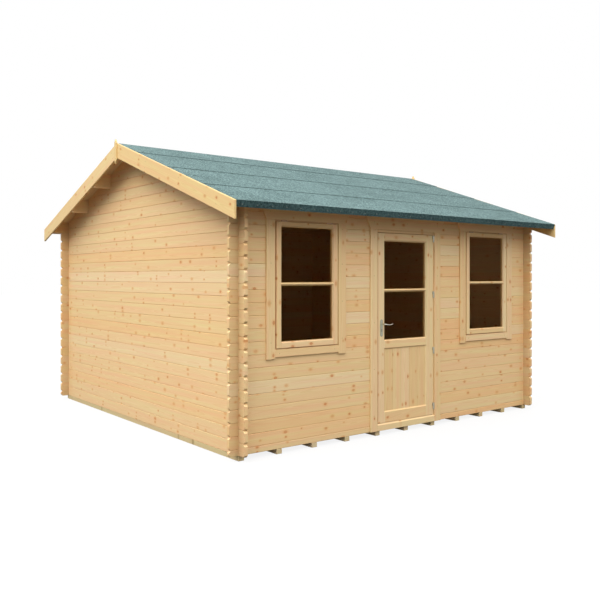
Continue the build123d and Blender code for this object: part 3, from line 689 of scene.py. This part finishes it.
along_facing = add_node(board_row, "ShaderNodeSeparateXYZ", board_facing)
cut_face = add_node(board_row, "ShaderNodeMath", along_facing, operation="ABSOLUTE")
cut_face = add_node(board_row, "ShaderNodeMath", cut_face, 0.75, operation="GREATER_THAN")
one_board = add_node(
    board_row,
    "GeometryNodeStoreNamedAttribute",
    {"Geometry": one_board, "Name": "end_grain", "Value": cut_face},
    data_type="FLOAT",
    domain="FACE",
)
step = add_node(board_row, "ShaderNodeCombineXYZ", {"Y": given["Pitch"]})
places = add_node(
    board_row, "GeometryNodeMeshLine", {"Count": given["Count"], "Offset": step}, mode="OFFSET"
)
row = add_node(board_row, "GeometryNodeInstanceOnPoints", {"Points": places, "Instance": one_board})
own_number = add_node(board_row, "FunctionNodeRandomValue", {"Seed": given["Seed"]}, data_type="FLOAT")
row = add_node(
    board_row,
    "GeometryNodeStoreNamedAttribute",
    {"Geometry": row, "Name": "board", "Value": own_number},
    data_type="FLOAT",
    domain="INSTANCE",
)
row = add_node(board_row, "GeometryNodeRealizeInstances", row)
row = add_node(board_row, "GeometryNodeSetMaterial", {"Geometry": row, "Material": given["Material"]})
add_node(board_row, "NodeGroupOutput", row)

floor_low, floor_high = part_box("floor")
floor_rows = 42
floor_pitch = (floor_high.y - floor_low.y) / floor_rows
board_gap = 0.0004
first_edge = floor_low.y + floor_pitch - board_gap / 2
floor_solid = copy_of("floor")
first_board = clip_board(floor_solid, (None, None, None), (None, first_edge, None))
floor_solid.free()
ease_arrises(first_board, 0.0015)
other_boards = grow(
    board_row,
    "floor_boards",
    Count=floor_rows - 1,
    Length=floor_high.x - floor_low.x,
    Pitch=floor_pitch,
    Thickness=floor_high.z - floor_low.z,
    Gap=board_gap,
    Arris=0.0015,
    Seed=3,
    Material=planed_pine,
)
first_row = Vector((0, floor_low.y + 1.5 * floor_pitch, (floor_low.z + floor_high.z) / 2))
other_boards.transform(Matrix.Translation(first_row))
place_boards(first_board, "notched_floor_board", planed_pine, stands_for=["floor"])
place_piece("floor_boards", other_boards, stands_for=["floor"])


# ---- Roof boards -------------------------------------------------------------------------------
# Planed boards run from the ridge to the eaves over five purlins, with their joints bevelled on
# the face that is seen from below. A batten under each eave carries the felt's edge.

for node in ("purlins", "eave_battens"):
    plane_boards(node, f"{node}_planed", planed_pine, arris=0.0015)

deck_low, deck_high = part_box("front_roof_deck")
slope = radians(19)
deck_thickness = 0.018
deck_start = 0.0065
deck_end = -deck_low.y / cos(slope)
roof_rows = 47
for node, seed, side in (("front_roof_deck", 11, -1), ("rear_roof_deck", 12, 1)):
    boards = grow(
        board_row,
        f"{node}_boards",
        Count=roof_rows,
        Length=deck_end - deck_start,
        Pitch=(deck_high.x - deck_low.x) / roof_rows,
        Thickness=deck_thickness,
        Gap=board_gap,
        Arris=0.002,
        Seed=seed,
        Material=planed_pine,
    )
    down = Vector((0, side * cos(slope), -sin(slope)))
    out = Vector((0, side * sin(slope), cos(slope)))
    over = out.cross(down)
    centre = Vector((0, 0, deck_high.z)) + down * (deck_start + deck_end) / 2
    centre -= out * deck_thickness / 2 + over * (deck_high.x - deck_low.x) * (1 - 1 / roof_rows) / 2
    boards.transform(Matrix.Translation(centre) @ Matrix((down, over, out)).transposed().to_4x4())
    place_piece(f"{node}_boards", boards, stands_for=[node])


# ---- Felt --------------------------------------------------------------------------------------
# Mineral roofing felt: bitumen sheet with green slate grit rolled into its face, laid in strips
# from the eaves up. Clout nails hold the strip that is turned down over each eave.


def mineral_felt(name, dark, pale, laps=()):
    """Slate grit two millimetres across, with specks and clumps drawn at 10 and 16 mm to show.

    Bitumen creeps out at each lap, and the dark line just below each lap is partly that and partly
    painted shadow of the strip's edge above.
    """
    material, tree = new_material(name)
    place = add_node(tree, "ShaderNodeTexCoord").outputs["Object"]
    granules = add_node(tree, "ShaderNodeTexVoronoi", {"Vector": place, "Scale": 420.0})
    granules = add_node(tree, "ShaderNodeSeparateColor", granules.outputs["Color"])
    clumps = add_node(
        tree, "ShaderNodeTexNoise", {"Vector": place, "Scale": 62.0, "Detail": 3.0, "Roughness": 0.65}
    )
    specks = add_node(tree, "ShaderNodeTexVoronoi", {"Vector": place, "Scale": 99.2})
    specks = add_node(tree, "ShaderNodeSeparateColor", specks.outputs["Color"])
    patches = add_node(
        tree, "ShaderNodeTexNoise", {"Vector": place, "Scale": 3.0, "Detail": 3.0, "Roughness": 0.6}
    )
    grit_tone = clumps
    for grit, share in ((granules.outputs[0], 0.25), (specks.outputs[1], 0.3), (patches, 0.25)):
        grit_tone = add_node(tree, "ShaderNodeMath", grit, share, grit_tone, operation="MULTIPLY_ADD")
    grit_tone = add_node(
        tree, "ShaderNodeMapRange", {"Value": grit_tone, "From Min": 0.67, "From Max": 1.15}
    )
    colour = add_node(
        tree,
        "ShaderNodeMix",
        {"Factor": grit_tone, 6: to_linear(dark), 7: to_linear(pale)},
        data_type="RGBA",
    )
    if laps:
        apart = add_node(tree, "ShaderNodeSeparateXYZ", place)
        out_from_ridge = add_node(tree, "ShaderNodeMath", apart.outputs["Y"], operation="ABSOLUTE")
        down_slope = add_node(tree, "ShaderNodeMath", out_from_ridge, 1 / cos(slope), operation="MULTIPLY")
        for lap in laps:
            # A dark band just below each lap: partly bitumen, partly painted shadow of the lap.
            from_lap = add_node(tree, "ShaderNodeMath", down_slope, lap, operation="SUBTRACT")
            lap_bitumen_and_shadow = add_node(
                tree,
                "ShaderNodeMapRange",
                {"Value": from_lap, "From Min": 0.012, "From Max": 0.002, "To Max": 0.5},
            )
            below = add_node(tree, "ShaderNodeMath", from_lap, -0.003, operation="GREATER_THAN")
            lap_bitumen_and_shadow = add_node(tree, "ShaderNodeMath", lap_bitumen_and_shadow, below, operation="MULTIPLY")
            colour = add_node(
                tree,
                "ShaderNodeMix",
                {"Factor": lap_bitumen_and_shadow, 6: colour, 7: to_linear("33423f")},
                data_type="RGBA",
            )
    bump = add_node(tree, "ShaderNodeBump", {"Strength": 0.5, "Distance": 0.002, "Height": grit_tone})
    shader = add_node(
        tree,
        "ShaderNodeBsdfPrincipled",
        {"Base Color": colour, "Roughness": 0.93, "Specular IOR Level": 0.25, "Normal": bump},
    )
    add_node(tree, "ShaderNodeOutputMaterial", {"Surface": shader})
    return material


def cover(nodes, finish):
    """Gives CAD nodes that show as they are their finish."""
    for node in nodes:
        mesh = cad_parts[node].data
        mesh.materials.clear()
        mesh.materials.append(finish)


roof_felt = mineral_felt(
    "green mineral roofing felt", dark="2c4241", pale="779190", laps=(0.495, 1.180, 1.865)
)
cover(("front_felt", "rear_felt", "ridge_felt"), roof_felt)

# The strip that is turned down over the eave is the same felt in darker colours.
turned_felt = mineral_felt("green mineral felt, folded", dark="283d3d", pale="577474")
cover(("eave_felts",), turned_felt)

# A nail or a screw at each vertex of a mesh, turned to face the way that its attribute says.
fasteners, given = new_geometry_tree(
    "fasteners", Geometry="Geometry", Head="Object", Diameter="Float", Seed="Int", Material="Material"
)
head = add_node(fasteners, "GeometryNodeObjectInfo", {"Object": given["Head"]})
facing = add_node(
    fasteners, "GeometryNodeInputNamedAttribute", {"Name": "facing"}, data_type="FLOAT_VECTOR"
)
turned = add_node(fasteners, "FunctionNodeAlignRotationToVector", {"Vector": facing}, axis="Z")
quarter = add_node(fasteners, "FunctionNodeRandomValue", {3: pi, "Seed": given["Seed"]}, data_type="FLOAT")
driven = add_node(fasteners, "FunctionNodeAxisAngleToRotation", {"Axis": (0, 0, 1), "Angle": quarter})
turned = add_node(
    fasteners,
    "FunctionNodeRotateRotation",
    {"Rotation": turned, "Rotate By": driven},
    rotation_space="LOCAL",
)
heads = add_node(
    fasteners,
    "GeometryNodeInstanceOnPoints",
    {
        "Points": given["Geometry"],
        "Instance": head.outputs["Geometry"],
        "Rotation": turned,
        "Scale": given["Diameter"],
    },
)
heads = add_node(fasteners, "GeometryNodeRealizeInstances", heads)
heads = add_node(fasteners, "GeometryNodeSetMaterial", {"Geometry": heads, "Material": given["Material"]})
add_node(fasteners, "NodeGroupOutput", heads)


def join_rings(form, rings, open_base=False):
    """Skins a row of rings of vertices, from each to the next, and closes its ends."""
    for ring, later in zip(rings, rings[1:]):
        for n in range(len(ring)):
            m = (n + 1) % len(ring)
            form.faces.new((ring[n], ring[m], later[m], later[n]))
    if not open_base:
        form.faces.new(rings[0][::-1])
    form.faces.new(rings[-1])


def turned_form(profile, sides=12):
    """A closed form turned about Z, from the radius and height of each of its rings."""
    form = bmesh.new()
    angles = [2 * pi * (n + 0.5) / sides for n in range(sides)]
    rings = []
    for radius, height in profile:
        rings.append([form.verts.new((radius * cos(a), radius * sin(a), height)) for a in angles])
    join_rings(form, rings)
    return form


def drive(name, head_form, places, diameter, seed, finish, body="cabin"):
    """Puts a fastener at each place, given as a point and the way that it faces."""
    head_mesh = bpy.data.meshes.new("head")
    head_form.to_mesh(head_mesh)
    pattern = bpy.data.objects.new("head", head_mesh)
    scene.collection.objects.link(pattern)
    points = bpy.data.meshes.new(name)
    points.from_pydata([point for point, _ in places], [], [])
    facing = points.attributes.new("facing", "FLOAT_VECTOR", "POINT")
    facing.data.foreach_set("vector", [number for _, way in places for number in way])
    mesh = grow(fasteners, name, points, Head=pattern, Diameter=diameter, Seed=seed, Material=finish)
    bpy.data.objects.remove(pattern)
    place_piece(name, mesh, body)


def metal(name, colour, rough, uneven, brush, stain=None):
    """A metal whose gloss varies as its finish does.

    brush is in marks to a metre along X, Y and Z, coarser than the real ones so that they show.
    """
    material, tree = new_material(name)
    place = add_node(tree, "ShaderNodeTexCoord")
    noise = add_streaks(tree, place.outputs["Object"], brush, 3.0)
    gloss = add_node(
        tree, "ShaderNodeMapRange", {"Value": noise, "To Min": rough - uneven, "To Max": rough + uneven}
    )
    tone = add_node(
        tree,
        "ShaderNodeMix",
        {"Factor": noise, 6: to_linear(stain or colour), 7: to_linear(colour)},
        data_type="RGBA",
    )
    shader = add_node(
        tree, "ShaderNodeBsdfPrincipled", {"Base Color": tone, "Metallic": 1.0, "Roughness": gloss}
    )
    add_node(tree, "ShaderNodeOutputMaterial", {"Surface": shader})
    return material


# Clout nails have a broad flat head. Hot zinc leaves them dull and spangled.
galvanised = metal(
    "hot dip galvanised nail",
    "8d9391",
    rough=0.55,
    uneven=0.12,
    brush=(300.0, 300.0, 300.0),
    stain="6a706e",
)
clout_head = turned_form([(0.5, -0.06), (0.5, 0.05), (0.44, 0.09), (0.2, 0.11)])
felt_low, felt_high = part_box("front_felt")
nail_pitch = 0.15
nail_margin = 0.05
nail_rise = 0.022
nails_across = int((felt_high.x - felt_low.x - 2 * nail_margin) / nail_pitch)
nail_xs = [(n - nails_across / 2) * nail_pitch for n in range(nails_across + 1)]
eave_low, eave_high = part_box("eave_felts")
nails = []
for side in (-1, 1):
    for x in nail_xs:
        nails.append(((x, side * eave_high.y, eave_low.z + nail_rise), (0, side, 0)))

drive("eave_nails", clout_head, nails, diameter=0.009, seed=21, finish=galvanised)


# ---- Verges ------------------------------------------------------------------------------------
# Planed bargeboards close the ends of the roof and meet under a pointed finial at the ridge. They
# are screwed into the ends of the purlins.

# The bargeboards are a darker, yellower copy of the planed pine.
verge_pine = softwood(
    "planed pine bargeboard",
    pale="ebd9b5",
    warm="d9bb8c",
    resin="d99a58",
    knot="b96029",
    tones=board_tones,
    gloss=0.6,
)
for node in ("left_bargeboards", "right_bargeboards", "finials"):
    plane_boards(node, f"{node}_planed", verge_pine, arris=0.0015)


def recessed_head():
    """A countersunk screw's head, a unit across, with a cross recess."""
    form = turned_form([(0.5, -0.08), (0.5, 0.0), (0.44, 0.07)])
    top = max(form.faces, key=lambda face: face.calc_center_median().z)
    bmesh.ops.delete(form, geom=[top], context="FACES_ONLY")
    turns = {}
    for vert in form.verts:
        if vert.co.z > 0.05:
            turns[vert] = vert.co.to_2d().angle_signed(Vector((1, 0)), 0)
    rings = [sorted(turns, key=lambda vert: round(turns[vert], 4))]
    for reach, notch, height in ((0.30, 0.09, 0.10), (0.24, 0.06, -0.02)):
        ring = []
        for vert in rings[0]:
            angle = -turns[vert]
            corner = abs((angle / (pi / 2)) % 1.0 - 0.5) < 0.1
            length = notch * 1.4 if corner else reach
            ring.append(form.verts.new((length * cos(angle), length * sin(angle), height)))
        rings.append(ring)
    join_rings(form, rings, open_base=True)
    bmesh.ops.recalc_face_normals(form, faces=form.faces[:])
    return form


# Screws are steel with a yellow zinc coat, which is the colour of weak brass.
yellow_zinc = metal("yellow passivated zinc", "b9a672", rough=0.34, uneven=0.1, brush=(500.0, 500.0, 500.0))
screw_head = recessed_head()
barge_low, barge_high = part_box("left_bargeboards")
purlin_ys = (0.12, 0.675, 1.35, 2.02)
board_middle_drop = 0.077
screw_pitch = 0.06
screws = []
for side, face in ((-1, barge_low.x), (1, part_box("right_bargeboards")[1].x)):
    for y in purlin_ys:
        middle_height = barge_high.z - y * tan(slope) - board_middle_drop
        for way in (-1, 1):
            for rise in (-screw_pitch / 2, screw_pitch / 2):
                # The two screws of a pair are nearly square to the board's slope.
                place = (face, way * (y + rise * 0.3), middle_height + rise)
                screws.append((place, (side, 0, 0)))

drive("bargeboard_screws", screw_head, screws, diameter=0.009, seed=31, finish=yellow_zinc)


# ---- Windows -----------------------------------------------------------------------------------
# Two top hung pine sashes with a bar across the middle. Each pane of float glass is held in a
# groove and a mitred bead, and boards cover the gap between the frame and the logs.

# Thin clear glass hardly bends or mirrors what is seen through it, and takes a little of its light.
float_glass, tree = new_material("clear float glass")
glass_shader = add_node(
    tree,
    "ShaderNodeBsdfPrincipled",
    {"Base Color": to_linear("d7cbbb"), "Roughness": 0.02, "IOR": 1.04, "Transmission Weight": 1.0},
)
add_node(tree, "ShaderNodeOutputMaterial", {"Surface": glass_shader})
cover(("window_glass_left", "window_glass_right", "door_glass"), float_glass)


def bead_ring(left, right, low, high, y):
    """Four mitred beads round a pane, with a rounded inner edge, on the room's side of it."""
    wide = 0.0035
    deep = 0.009
    section = ((0.0, 0.0), (wide, 0.0), (wide, deep * 0.5), (wide * 0.6, deep), (0.0, deep))
    form = bmesh.new()
    for start, end in ((0, 1), (1, 2), (2, 3), (3, 0)):
        rings = []
        for corner in (start, end):
            x, inwards = (left, 1) if corner in (0, 3) else (right, -1)
            z, upwards = (low, 1) if corner in (0, 1) else (high, -1)
            points = [(x + inwards * inset, y + depth, z + upwards * inset) for inset, depth in section]
            rings.append([form.verts.new(point) for point in points])
        join_rings(form, rings)
    bmesh.ops.recalc_face_normals(form, faces=form.faces[:])
    return form


def saw_apart(node, left, right, rails):
    """Saws a joined frame into its two stiles and the rails and bars between them."""
    whole = copy_of(node)
    boards = [
        clip_board(whole, (None, None, None), (left, None, None)),
        clip_board(whole, (right, None, None), (None, None, None)),
    ]
    for low, high in rails:
        corner = (left + saw_kerf, None, low)
        boards.append(clip_board(whole, corner, (right - saw_kerf, None, high)))
    whole.free()
    boards = join_forms(boards)
    ease_arrises(boards, 0.001)
    return boards


sash_bar = 0.025
pane_play = 0.0003
saw_kerf = 0.0003
rail_margin = 0.03
for side in ("left", "right"):
    for part, arris in (("frame", 0.0015), ("trim", 0.002)):
        node = f"window_{part}_{side}"
        plane_boards(node, f"{node}_boards", planed_pine, arris)
    glass_low, glass_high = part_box(f"window_glass_{side}")
    sight_left = glass_low.x - pane_play
    sight_right = glass_high.x + pane_play
    sight_low = glass_low.z - pane_play
    sight_high = glass_high.z + pane_play
    middle_height = (sight_low + sight_high) / 2
    bar_low = middle_height - sash_bar / 2
    bar_high = middle_height + sash_bar / 2
    rails = (
        (None, sight_low + rail_margin),
        (bar_low - rail_margin, bar_high + rail_margin),
        (sight_high - rail_margin, None),
    )
    node = f"window_sash_{side}"
    boards = saw_apart(node, sight_left, sight_right, rails)
    place_boards(boards, f"{node}_boards", planed_pine, stands_for=[node])
    glass_face = glass_high.y + pane_play
    panes = ((sight_low, bar_low), (bar_high, sight_high))
    beads = join_forms([bead_ring(sight_left, sight_right, *pane, glass_face) for pane in panes])
    place_boards(beads, f"window_beads_{side}", planed_pine)


# ---- Door frame --------------------------------------------------------------------------------
# Rebated pine jambs and head, a sill of the same pine, and cover boards screwed to the logs on both
# sides and over the top.

for node in ("door_frame", "door_trim", "threshold"):
    plane_boards(node, f"{node}_boards", planed_pine, arris=0.002)

# Screws down the boards beside each opening, and through the boards over and under it.
screw_sink = 0.002
screws = []
trim_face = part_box("door_trim")[0].y
for height in (0.20, 0.66, 1.12, 1.58, 1.96):
    for x in (-0.462, 0.462):
        screws.append(((x, trim_face + screw_sink, height), (0, -1, 0)))

for x in (-0.46, 0.0, 0.46):
    screws.append(((x, trim_face, 2.11), (0, -1, 0)))

for side in ("left", "right"):
    low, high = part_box(f"window_trim_{side}")
    middle_x = (low.x + high.x) / 2
    for way in (-1, 1):
        for height in (0.99, 1.34, 1.69, 2.02):
            screws.append(((middle_x + way * 0.414, low.y + screw_sink, height), (0, -1, 0)))
        screws.append(((middle_x + way * 0.42, low.y, 2.145), (0, -1, 0)))
        screws.append(((middle_x + way * 0.32, low.y + screw_sink, 0.893), (0, -1, 0)))

drive("trim_screws", screw_head, screws, diameter=0.008, seed=32, finish=yellow_zinc)


# ---- Door leaf ---------------------------------------------------------------------------------
# Pine stiles and rails, jointed at the corners, with two panes over a panel of upright boards.

leaf_low, leaf_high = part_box("door_leaf")
door_bar = 0.026
glass_low, glass_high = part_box("door_glass")
stile_left = glass_low.x - pane_play
stile_right = glass_high.x + pane_play
bar_middle = (glass_low.z + glass_high.z) / 2
lower_pane = (glass_low.z - pane_play, bar_middle - door_bar / 2)
upper_pane = (bar_middle + door_bar / 2, glass_high.z + pane_play)
panel_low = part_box("door_panel")[0].z - pane_play
panel_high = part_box("door_panel")[1].z + pane_play
rails = (
    (None, panel_low + rail_margin),
    (panel_high - rail_margin, lower_pane[0] + rail_margin),
    (lower_pane[1] - rail_margin, upper_pane[0] + rail_margin),
    (upper_pane[1] - rail_margin, None),
)
boards = saw_apart("door_leaf", stile_left, stile_right, rails)
place_boards(boards, "door_leaf_boards", planed_pine, body="door", stands_for=["door_leaf"])
plane_boards("door_panel", "door_panel_boards", planed_pine, arris=0, body="door")

glass_face = glass_high.y + pane_play
panes = (lower_pane, upper_pane)
beads = join_forms([bead_ring(stile_left, stile_right, *pane, glass_face) for pane in panes])
place_boards(beads, "door_beads", planed_pine, body="door")


# ---- Hinges ------------------------------------------------------------------------------------
# The door hangs on four lift off hinges of zinc plated steel, of which the knuckles show. Each
# window has two short ones above its sash.

# Zinc plate is a pale, slightly yellow grey, with a soft and uneven gloss.
zinc_plate = metal(
    "zinc plated steel", "c2c0b0", rough=0.42, uneven=0.1, brush=(260.0, 260.0, 260.0), stain="a8a698"
)


def place_metal(form, name, finish, body="cabin", stands_for=()):
    """Puts a turned or pressed metal part in the scene, smooth but for its edges."""
    bmesh.ops.recalc_face_normals(form, faces=form.faces[:])
    mesh = bpy.data.meshes.new(name)
    form.to_mesh(mesh)
    form.free()
    mesh.shade_smooth()
    mesh.set_sharp_from_angle(angle=radians(35))
    mesh.materials.append(finish)
    place_piece(name, mesh, body, stands_for)


def add_plate(form, low, high, arris=0.0006):
    """A thin plate between two corners, with its edges eased."""
    centre = (Vector(low) + Vector(high)) / 2
    size = Vector(high) - Vector(low)
    place = Matrix.Translation(centre) @ Matrix.Diagonal((*size, 1.0))
    made = bmesh.ops.create_cube(form, size=1.0, matrix=place)
    edges = list({edge for vert in made["verts"] for edge in vert.link_edges})
    bmesh.ops.bevel(form, geom=edges, offset=arris, segments=2, affect="EDGES", clamp_overlap=True)


knuckle_radius = 0.0073
knuckle_height = 0.0337
plate_thickness = 0.0025
pin_past_leaf = 0.0025
pin_depth = 0.0075
fixed_low, fixed_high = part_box("door_hinges_fixed")
moving_low, moving_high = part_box("door_hinges_moving")
hinge_x = leaf_high.x + pin_past_leaf
hinge_y = fixed_low.y + pin_depth
hinge_pitch = (fixed_high.z - fixed_low.z - knuckle_height) / 3
for node, low, body, plate_left, plate_right, plate_front in (
    ("door_hinges_fixed", fixed_low, "cabin", hinge_x + plate_thickness, hinge_x + 0.005, hinge_y),
    ("door_hinges_moving", moving_low, "door", moving_low.x, hinge_x, moving_high.y - plate_thickness),
):
    plate_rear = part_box(node)[1].y
    forms = []
    for number in range(4):
        bottom = low.z + number * hinge_pitch
        top = bottom + knuckle_height
        profile = [
            (0.0045, bottom),
            (0.0066, bottom + 0.0008),
            (knuckle_radius, bottom + 0.0024),
            (knuckle_radius, top - 0.0024),
            (0.0066, top - 0.0008),
            (0.0045, top),
        ]
        knuckle = turned_form(profile, sides=24)
        bmesh.ops.translate(knuckle, verts=knuckle.verts, vec=(hinge_x, hinge_y, 0))
        corner = (plate_left, plate_front, bottom + 0.001)
        add_plate(knuckle, corner, (plate_right, plate_rear, top - 0.001))
        forms.append(knuckle)
    place_metal(join_forms(forms), f"{node}_turned", zinc_plate, body, stands_for=[node])

# The windows' hinges are never wiped, and have lost their shine.
dull_zinc = metal("dulled zinc plated steel", "c0a48e", rough=0.6, uneven=0.1, brush=(260.0, 260.0, 260.0))
window_hinge_length = 0.064
knuckle_length = window_hinge_length / 5
knuckle_gap = 0.0004
for side in ("left", "right"):
    node = f"window_hinges_{side}"
    low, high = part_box(node)
    barrel = (high.z - low.z) / 2
    axis = Matrix.Translation((0, low.y + barrel, (low.z + high.z) / 2))
    axis @= Matrix.Rotation(radians(90), 4, "Y")
    forms = []
    for start in (low.x, high.x - window_hinge_length):
        for number in range(5):
            first = start + number * knuckle_length + knuckle_gap / 2
            last = first + knuckle_length - knuckle_gap
            profile = [
                (barrel * 0.86, first),
                (barrel, first + 0.0008),
                (barrel, last - 0.0008),
                (barrel * 0.86, last),
            ]
            knuckle = turned_form(profile, sides=20)
            bmesh.ops.transform(knuckle, matrix=axis, verts=knuckle.verts)
            forms.append(knuckle)
        leaf = bmesh.new()
        corner = (start, low.y + barrel, low.z + 0.0005)
        add_plate(leaf, corner, (start + window_hinge_length, high.y, high.z - 0.0005))
        forms.append(leaf)
    place_metal(join_forms(forms), f"{node}_turned", dull_zinc, stands_for=[node])


# ---- Door furniture ----------------------------------------------------------------------------
# A pair of lever handles on long rounded plates over a mortise lock, in satin stainless steel. The
# plates are pressed, and the levers bent from bar and brushed along their length.

# Fine lines along the levers and up the plates draw out the highlights. The plates are the duller.
satin_steel = metal("satin stainless steel", "c4c3b4", rough=0.26, uneven=0.07, brush=(40.0, 900.0, 900.0))
brushed_steel = metal(
    "brushed stainless steel", "9d9c8a", rough=0.36, uneven=0.08, brush=(900.0, 900.0, 40.0)
)
plates = copy_of("handle_plates")
rounded = [edge for edge in plates.edges if is_sharp(edge, 60)]
bmesh.ops.bevel(plates, geom=rounded, offset=0.0009, segments=2, affect="EDGES", clamp_overlap=True)
place_metal(plates, "handle_plates_pressed", brushed_steel, body="door", stands_for=["handle_plates"])


def lever_form(outer_face, away):
    """A neck that turns into a grip, which dips, narrows and rises again to its tip."""
    form = turned_form(
        [(0.0105, 0.0003), (0.0105, 0.0030), (0.0096, 0.0042), (0.0078, 0.0044), (0.0072, 0.036)], sides=24
    )
    upright = Matrix.Rotation(radians(90 * away), 4, "X")
    bmesh.ops.transform(form, matrix=upright, verts=form.verts)
    # Along the grip: distance from the spindle, height, half height and half thickness.
    stations = (
        (-0.0068, 0.0, 0.0048, 0.0036),
        (-0.0060, 0.0, 0.0064, 0.0044),
        (0.0, 0.0, 0.0070, 0.0048),
        (0.010, -0.0006, 0.0066, 0.0047),
        (0.022, -0.0024, 0.0056, 0.0044),
        (0.036, -0.0056, 0.0046, 0.0041),
        (0.050, -0.0082, 0.0040, 0.0039),
        (0.064, -0.0092, 0.0038, 0.0038),
        (0.078, -0.0088, 0.0039, 0.0038),
        (0.090, -0.0070, 0.0042, 0.0039),
        (0.101, -0.0042, 0.0046, 0.0040),
        (0.109, -0.0014, 0.0046, 0.0040),
        (0.1125, 0.0000, 0.0036, 0.0030),
    )
    grip_reach = -0.0432 * away
    angles = [2 * pi * n / 16 for n in range(16)]
    rings = []
    for x, z, tall, thick in stations:
        points = [(x, grip_reach + thick * sin(a), z + tall * cos(a)) for a in angles]
        rings.append([form.verts.new(point) for point in points])
    join_rings(form, rings)
    bmesh.ops.translate(form, verts=form.verts, vec=(spindle_x, outer_face, spindle_z))
    return form


plate_low, plate_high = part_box("handle_plates")
spindle_x = (plate_low.x + plate_high.x) / 2
spindle_z = 1.103
half_spindle = 0.004
into_neck = 0.03
spindle = bmesh.new()
add_plate(
    spindle,
    (spindle_x - half_spindle, plate_low.y - into_neck, spindle_z - half_spindle),
    (spindle_x + half_spindle, plate_high.y + into_neck, spindle_z + half_spindle),
)
levers = join_forms([lever_form(plate_low.y, 1), lever_form(plate_high.y, -1), spindle])
place_metal(levers, "door_lever_bent", satin_steel, body="lever", stands_for=["door_lever"])

# A profile cylinder passes through both plates: a round barrel over a narrow leg, with a key slot.
# Its nickel plate is browner than the steel round it.
nickel = metal("nickel plated brass", "8f8a78", rough=0.32, uneven=0.06, brush=(400.0, 400.0, 400.0))
lock_centres = 0.058
cylinder_z = spindle_z - lock_centres
barrel_radius = 0.0085
leg_half = 0.005
leg_drop = 0.0245
join_angle = 0.63
half_round = pi - join_angle
angles = [-half_round + n * 2 * half_round / 20 for n in range(21)]
outline = [(barrel_radius * sin(a), barrel_radius * cos(a)) for a in angles]
outline += [(leg_half, -leg_drop + 0.005), (leg_half * 0.7, -leg_drop + 0.0015), (0, -leg_drop)]
outline += [(-leg_half * 0.7, -leg_drop + 0.0015), (-leg_half, -leg_drop + 0.005)]
stand_out = 0.0025
chamfer = 0.0006
cylinder_front = plate_low.y - stand_out
cylinder_rear = plate_high.y + stand_out
cylinder = bmesh.new()
rings = []
for y, scale in (
    (cylinder_front, 0.93),
    (cylinder_front + chamfer, 1.0),
    (cylinder_rear - chamfer, 1.0),
    (cylinder_rear, 0.93),
):
    rings.append(
        [cylinder.verts.new((spindle_x + x * scale, y, cylinder_z + z * scale)) for x, z in outline]
    )

join_rings(cylinder, rings)
place_metal(cylinder, "lock_cylinder", nickel, body="door")

# The slot is a dark broken line on the plug that turns in the barrel: thin dark plates of
# painted shade where the cut slot would lie in shadow.
dark_slot = metal("shadowed key slot", "2b2825", rough=0.6, uneven=0.1, brush=(300.0, 300.0, 300.0))
slots = bmesh.new()
for y in (cylinder_front, cylinder_rear):
    for x, z, wide, tall in ((0, 0, 0.0018, 0.0088), (0.0007, 0.0015, 0.0022, 0.0018)):
        add_plate(
            slots,
            (spindle_x + x - wide / 2, y - 0.0002, cylinder_z + z - tall / 2),
            (spindle_x + x + wide / 2, y + 0.0002, cylinder_z + z + tall / 2),
            arris=0.00005,
        )

place_metal(slots, "key_slots", dark_slot, body="door")

# The lock's forend is let into the leaf's edge, with the end of its latch, and faces a strike plate.
# Each row gives the left and right, front and rear, and bottom and top of a plate.
leaf_middle = (leaf_low.y + leaf_high.y) / 2
leaf_gap = 0.005
jamb_face = leaf_low.x - leaf_gap
forend = bmesh.new()
strike = bmesh.new()
for form, left, right, front, rear, low, high in (
    (forend, leaf_low.x - 0.0006, leaf_low.x + 0.002, -0.010, 0.010, 0.975, 1.21),
    (forend, leaf_low.x - 0.0026, leaf_low.x + 0.002, -0.006, 0.006, 1.085, 1.121),
    (strike, jamb_face - 0.002, jamb_face + 0.0006, -0.012, 0.008, 0.99, 1.195),
):
    add_plate(form, (left, leaf_middle + front, low), (right, leaf_middle + rear, high))

place_metal(forend, "lock_forend", satin_steel, body="door")
place_metal(strike, "strike_plate", satin_steel)

# Two screws hold each handle plate.
screws = []
for height in (plate_low.z + 0.016, plate_high.z - 0.016):
    screws.append(((spindle_x, plate_low.y, height), (0, -1, 0)))
    screws.append(((spindle_x, plate_high.y, height), (0, 1, 0)))

drive("plate_screws", screw_head, screws, diameter=0.007, seed=33, finish=satin_steel, body="door")

low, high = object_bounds()
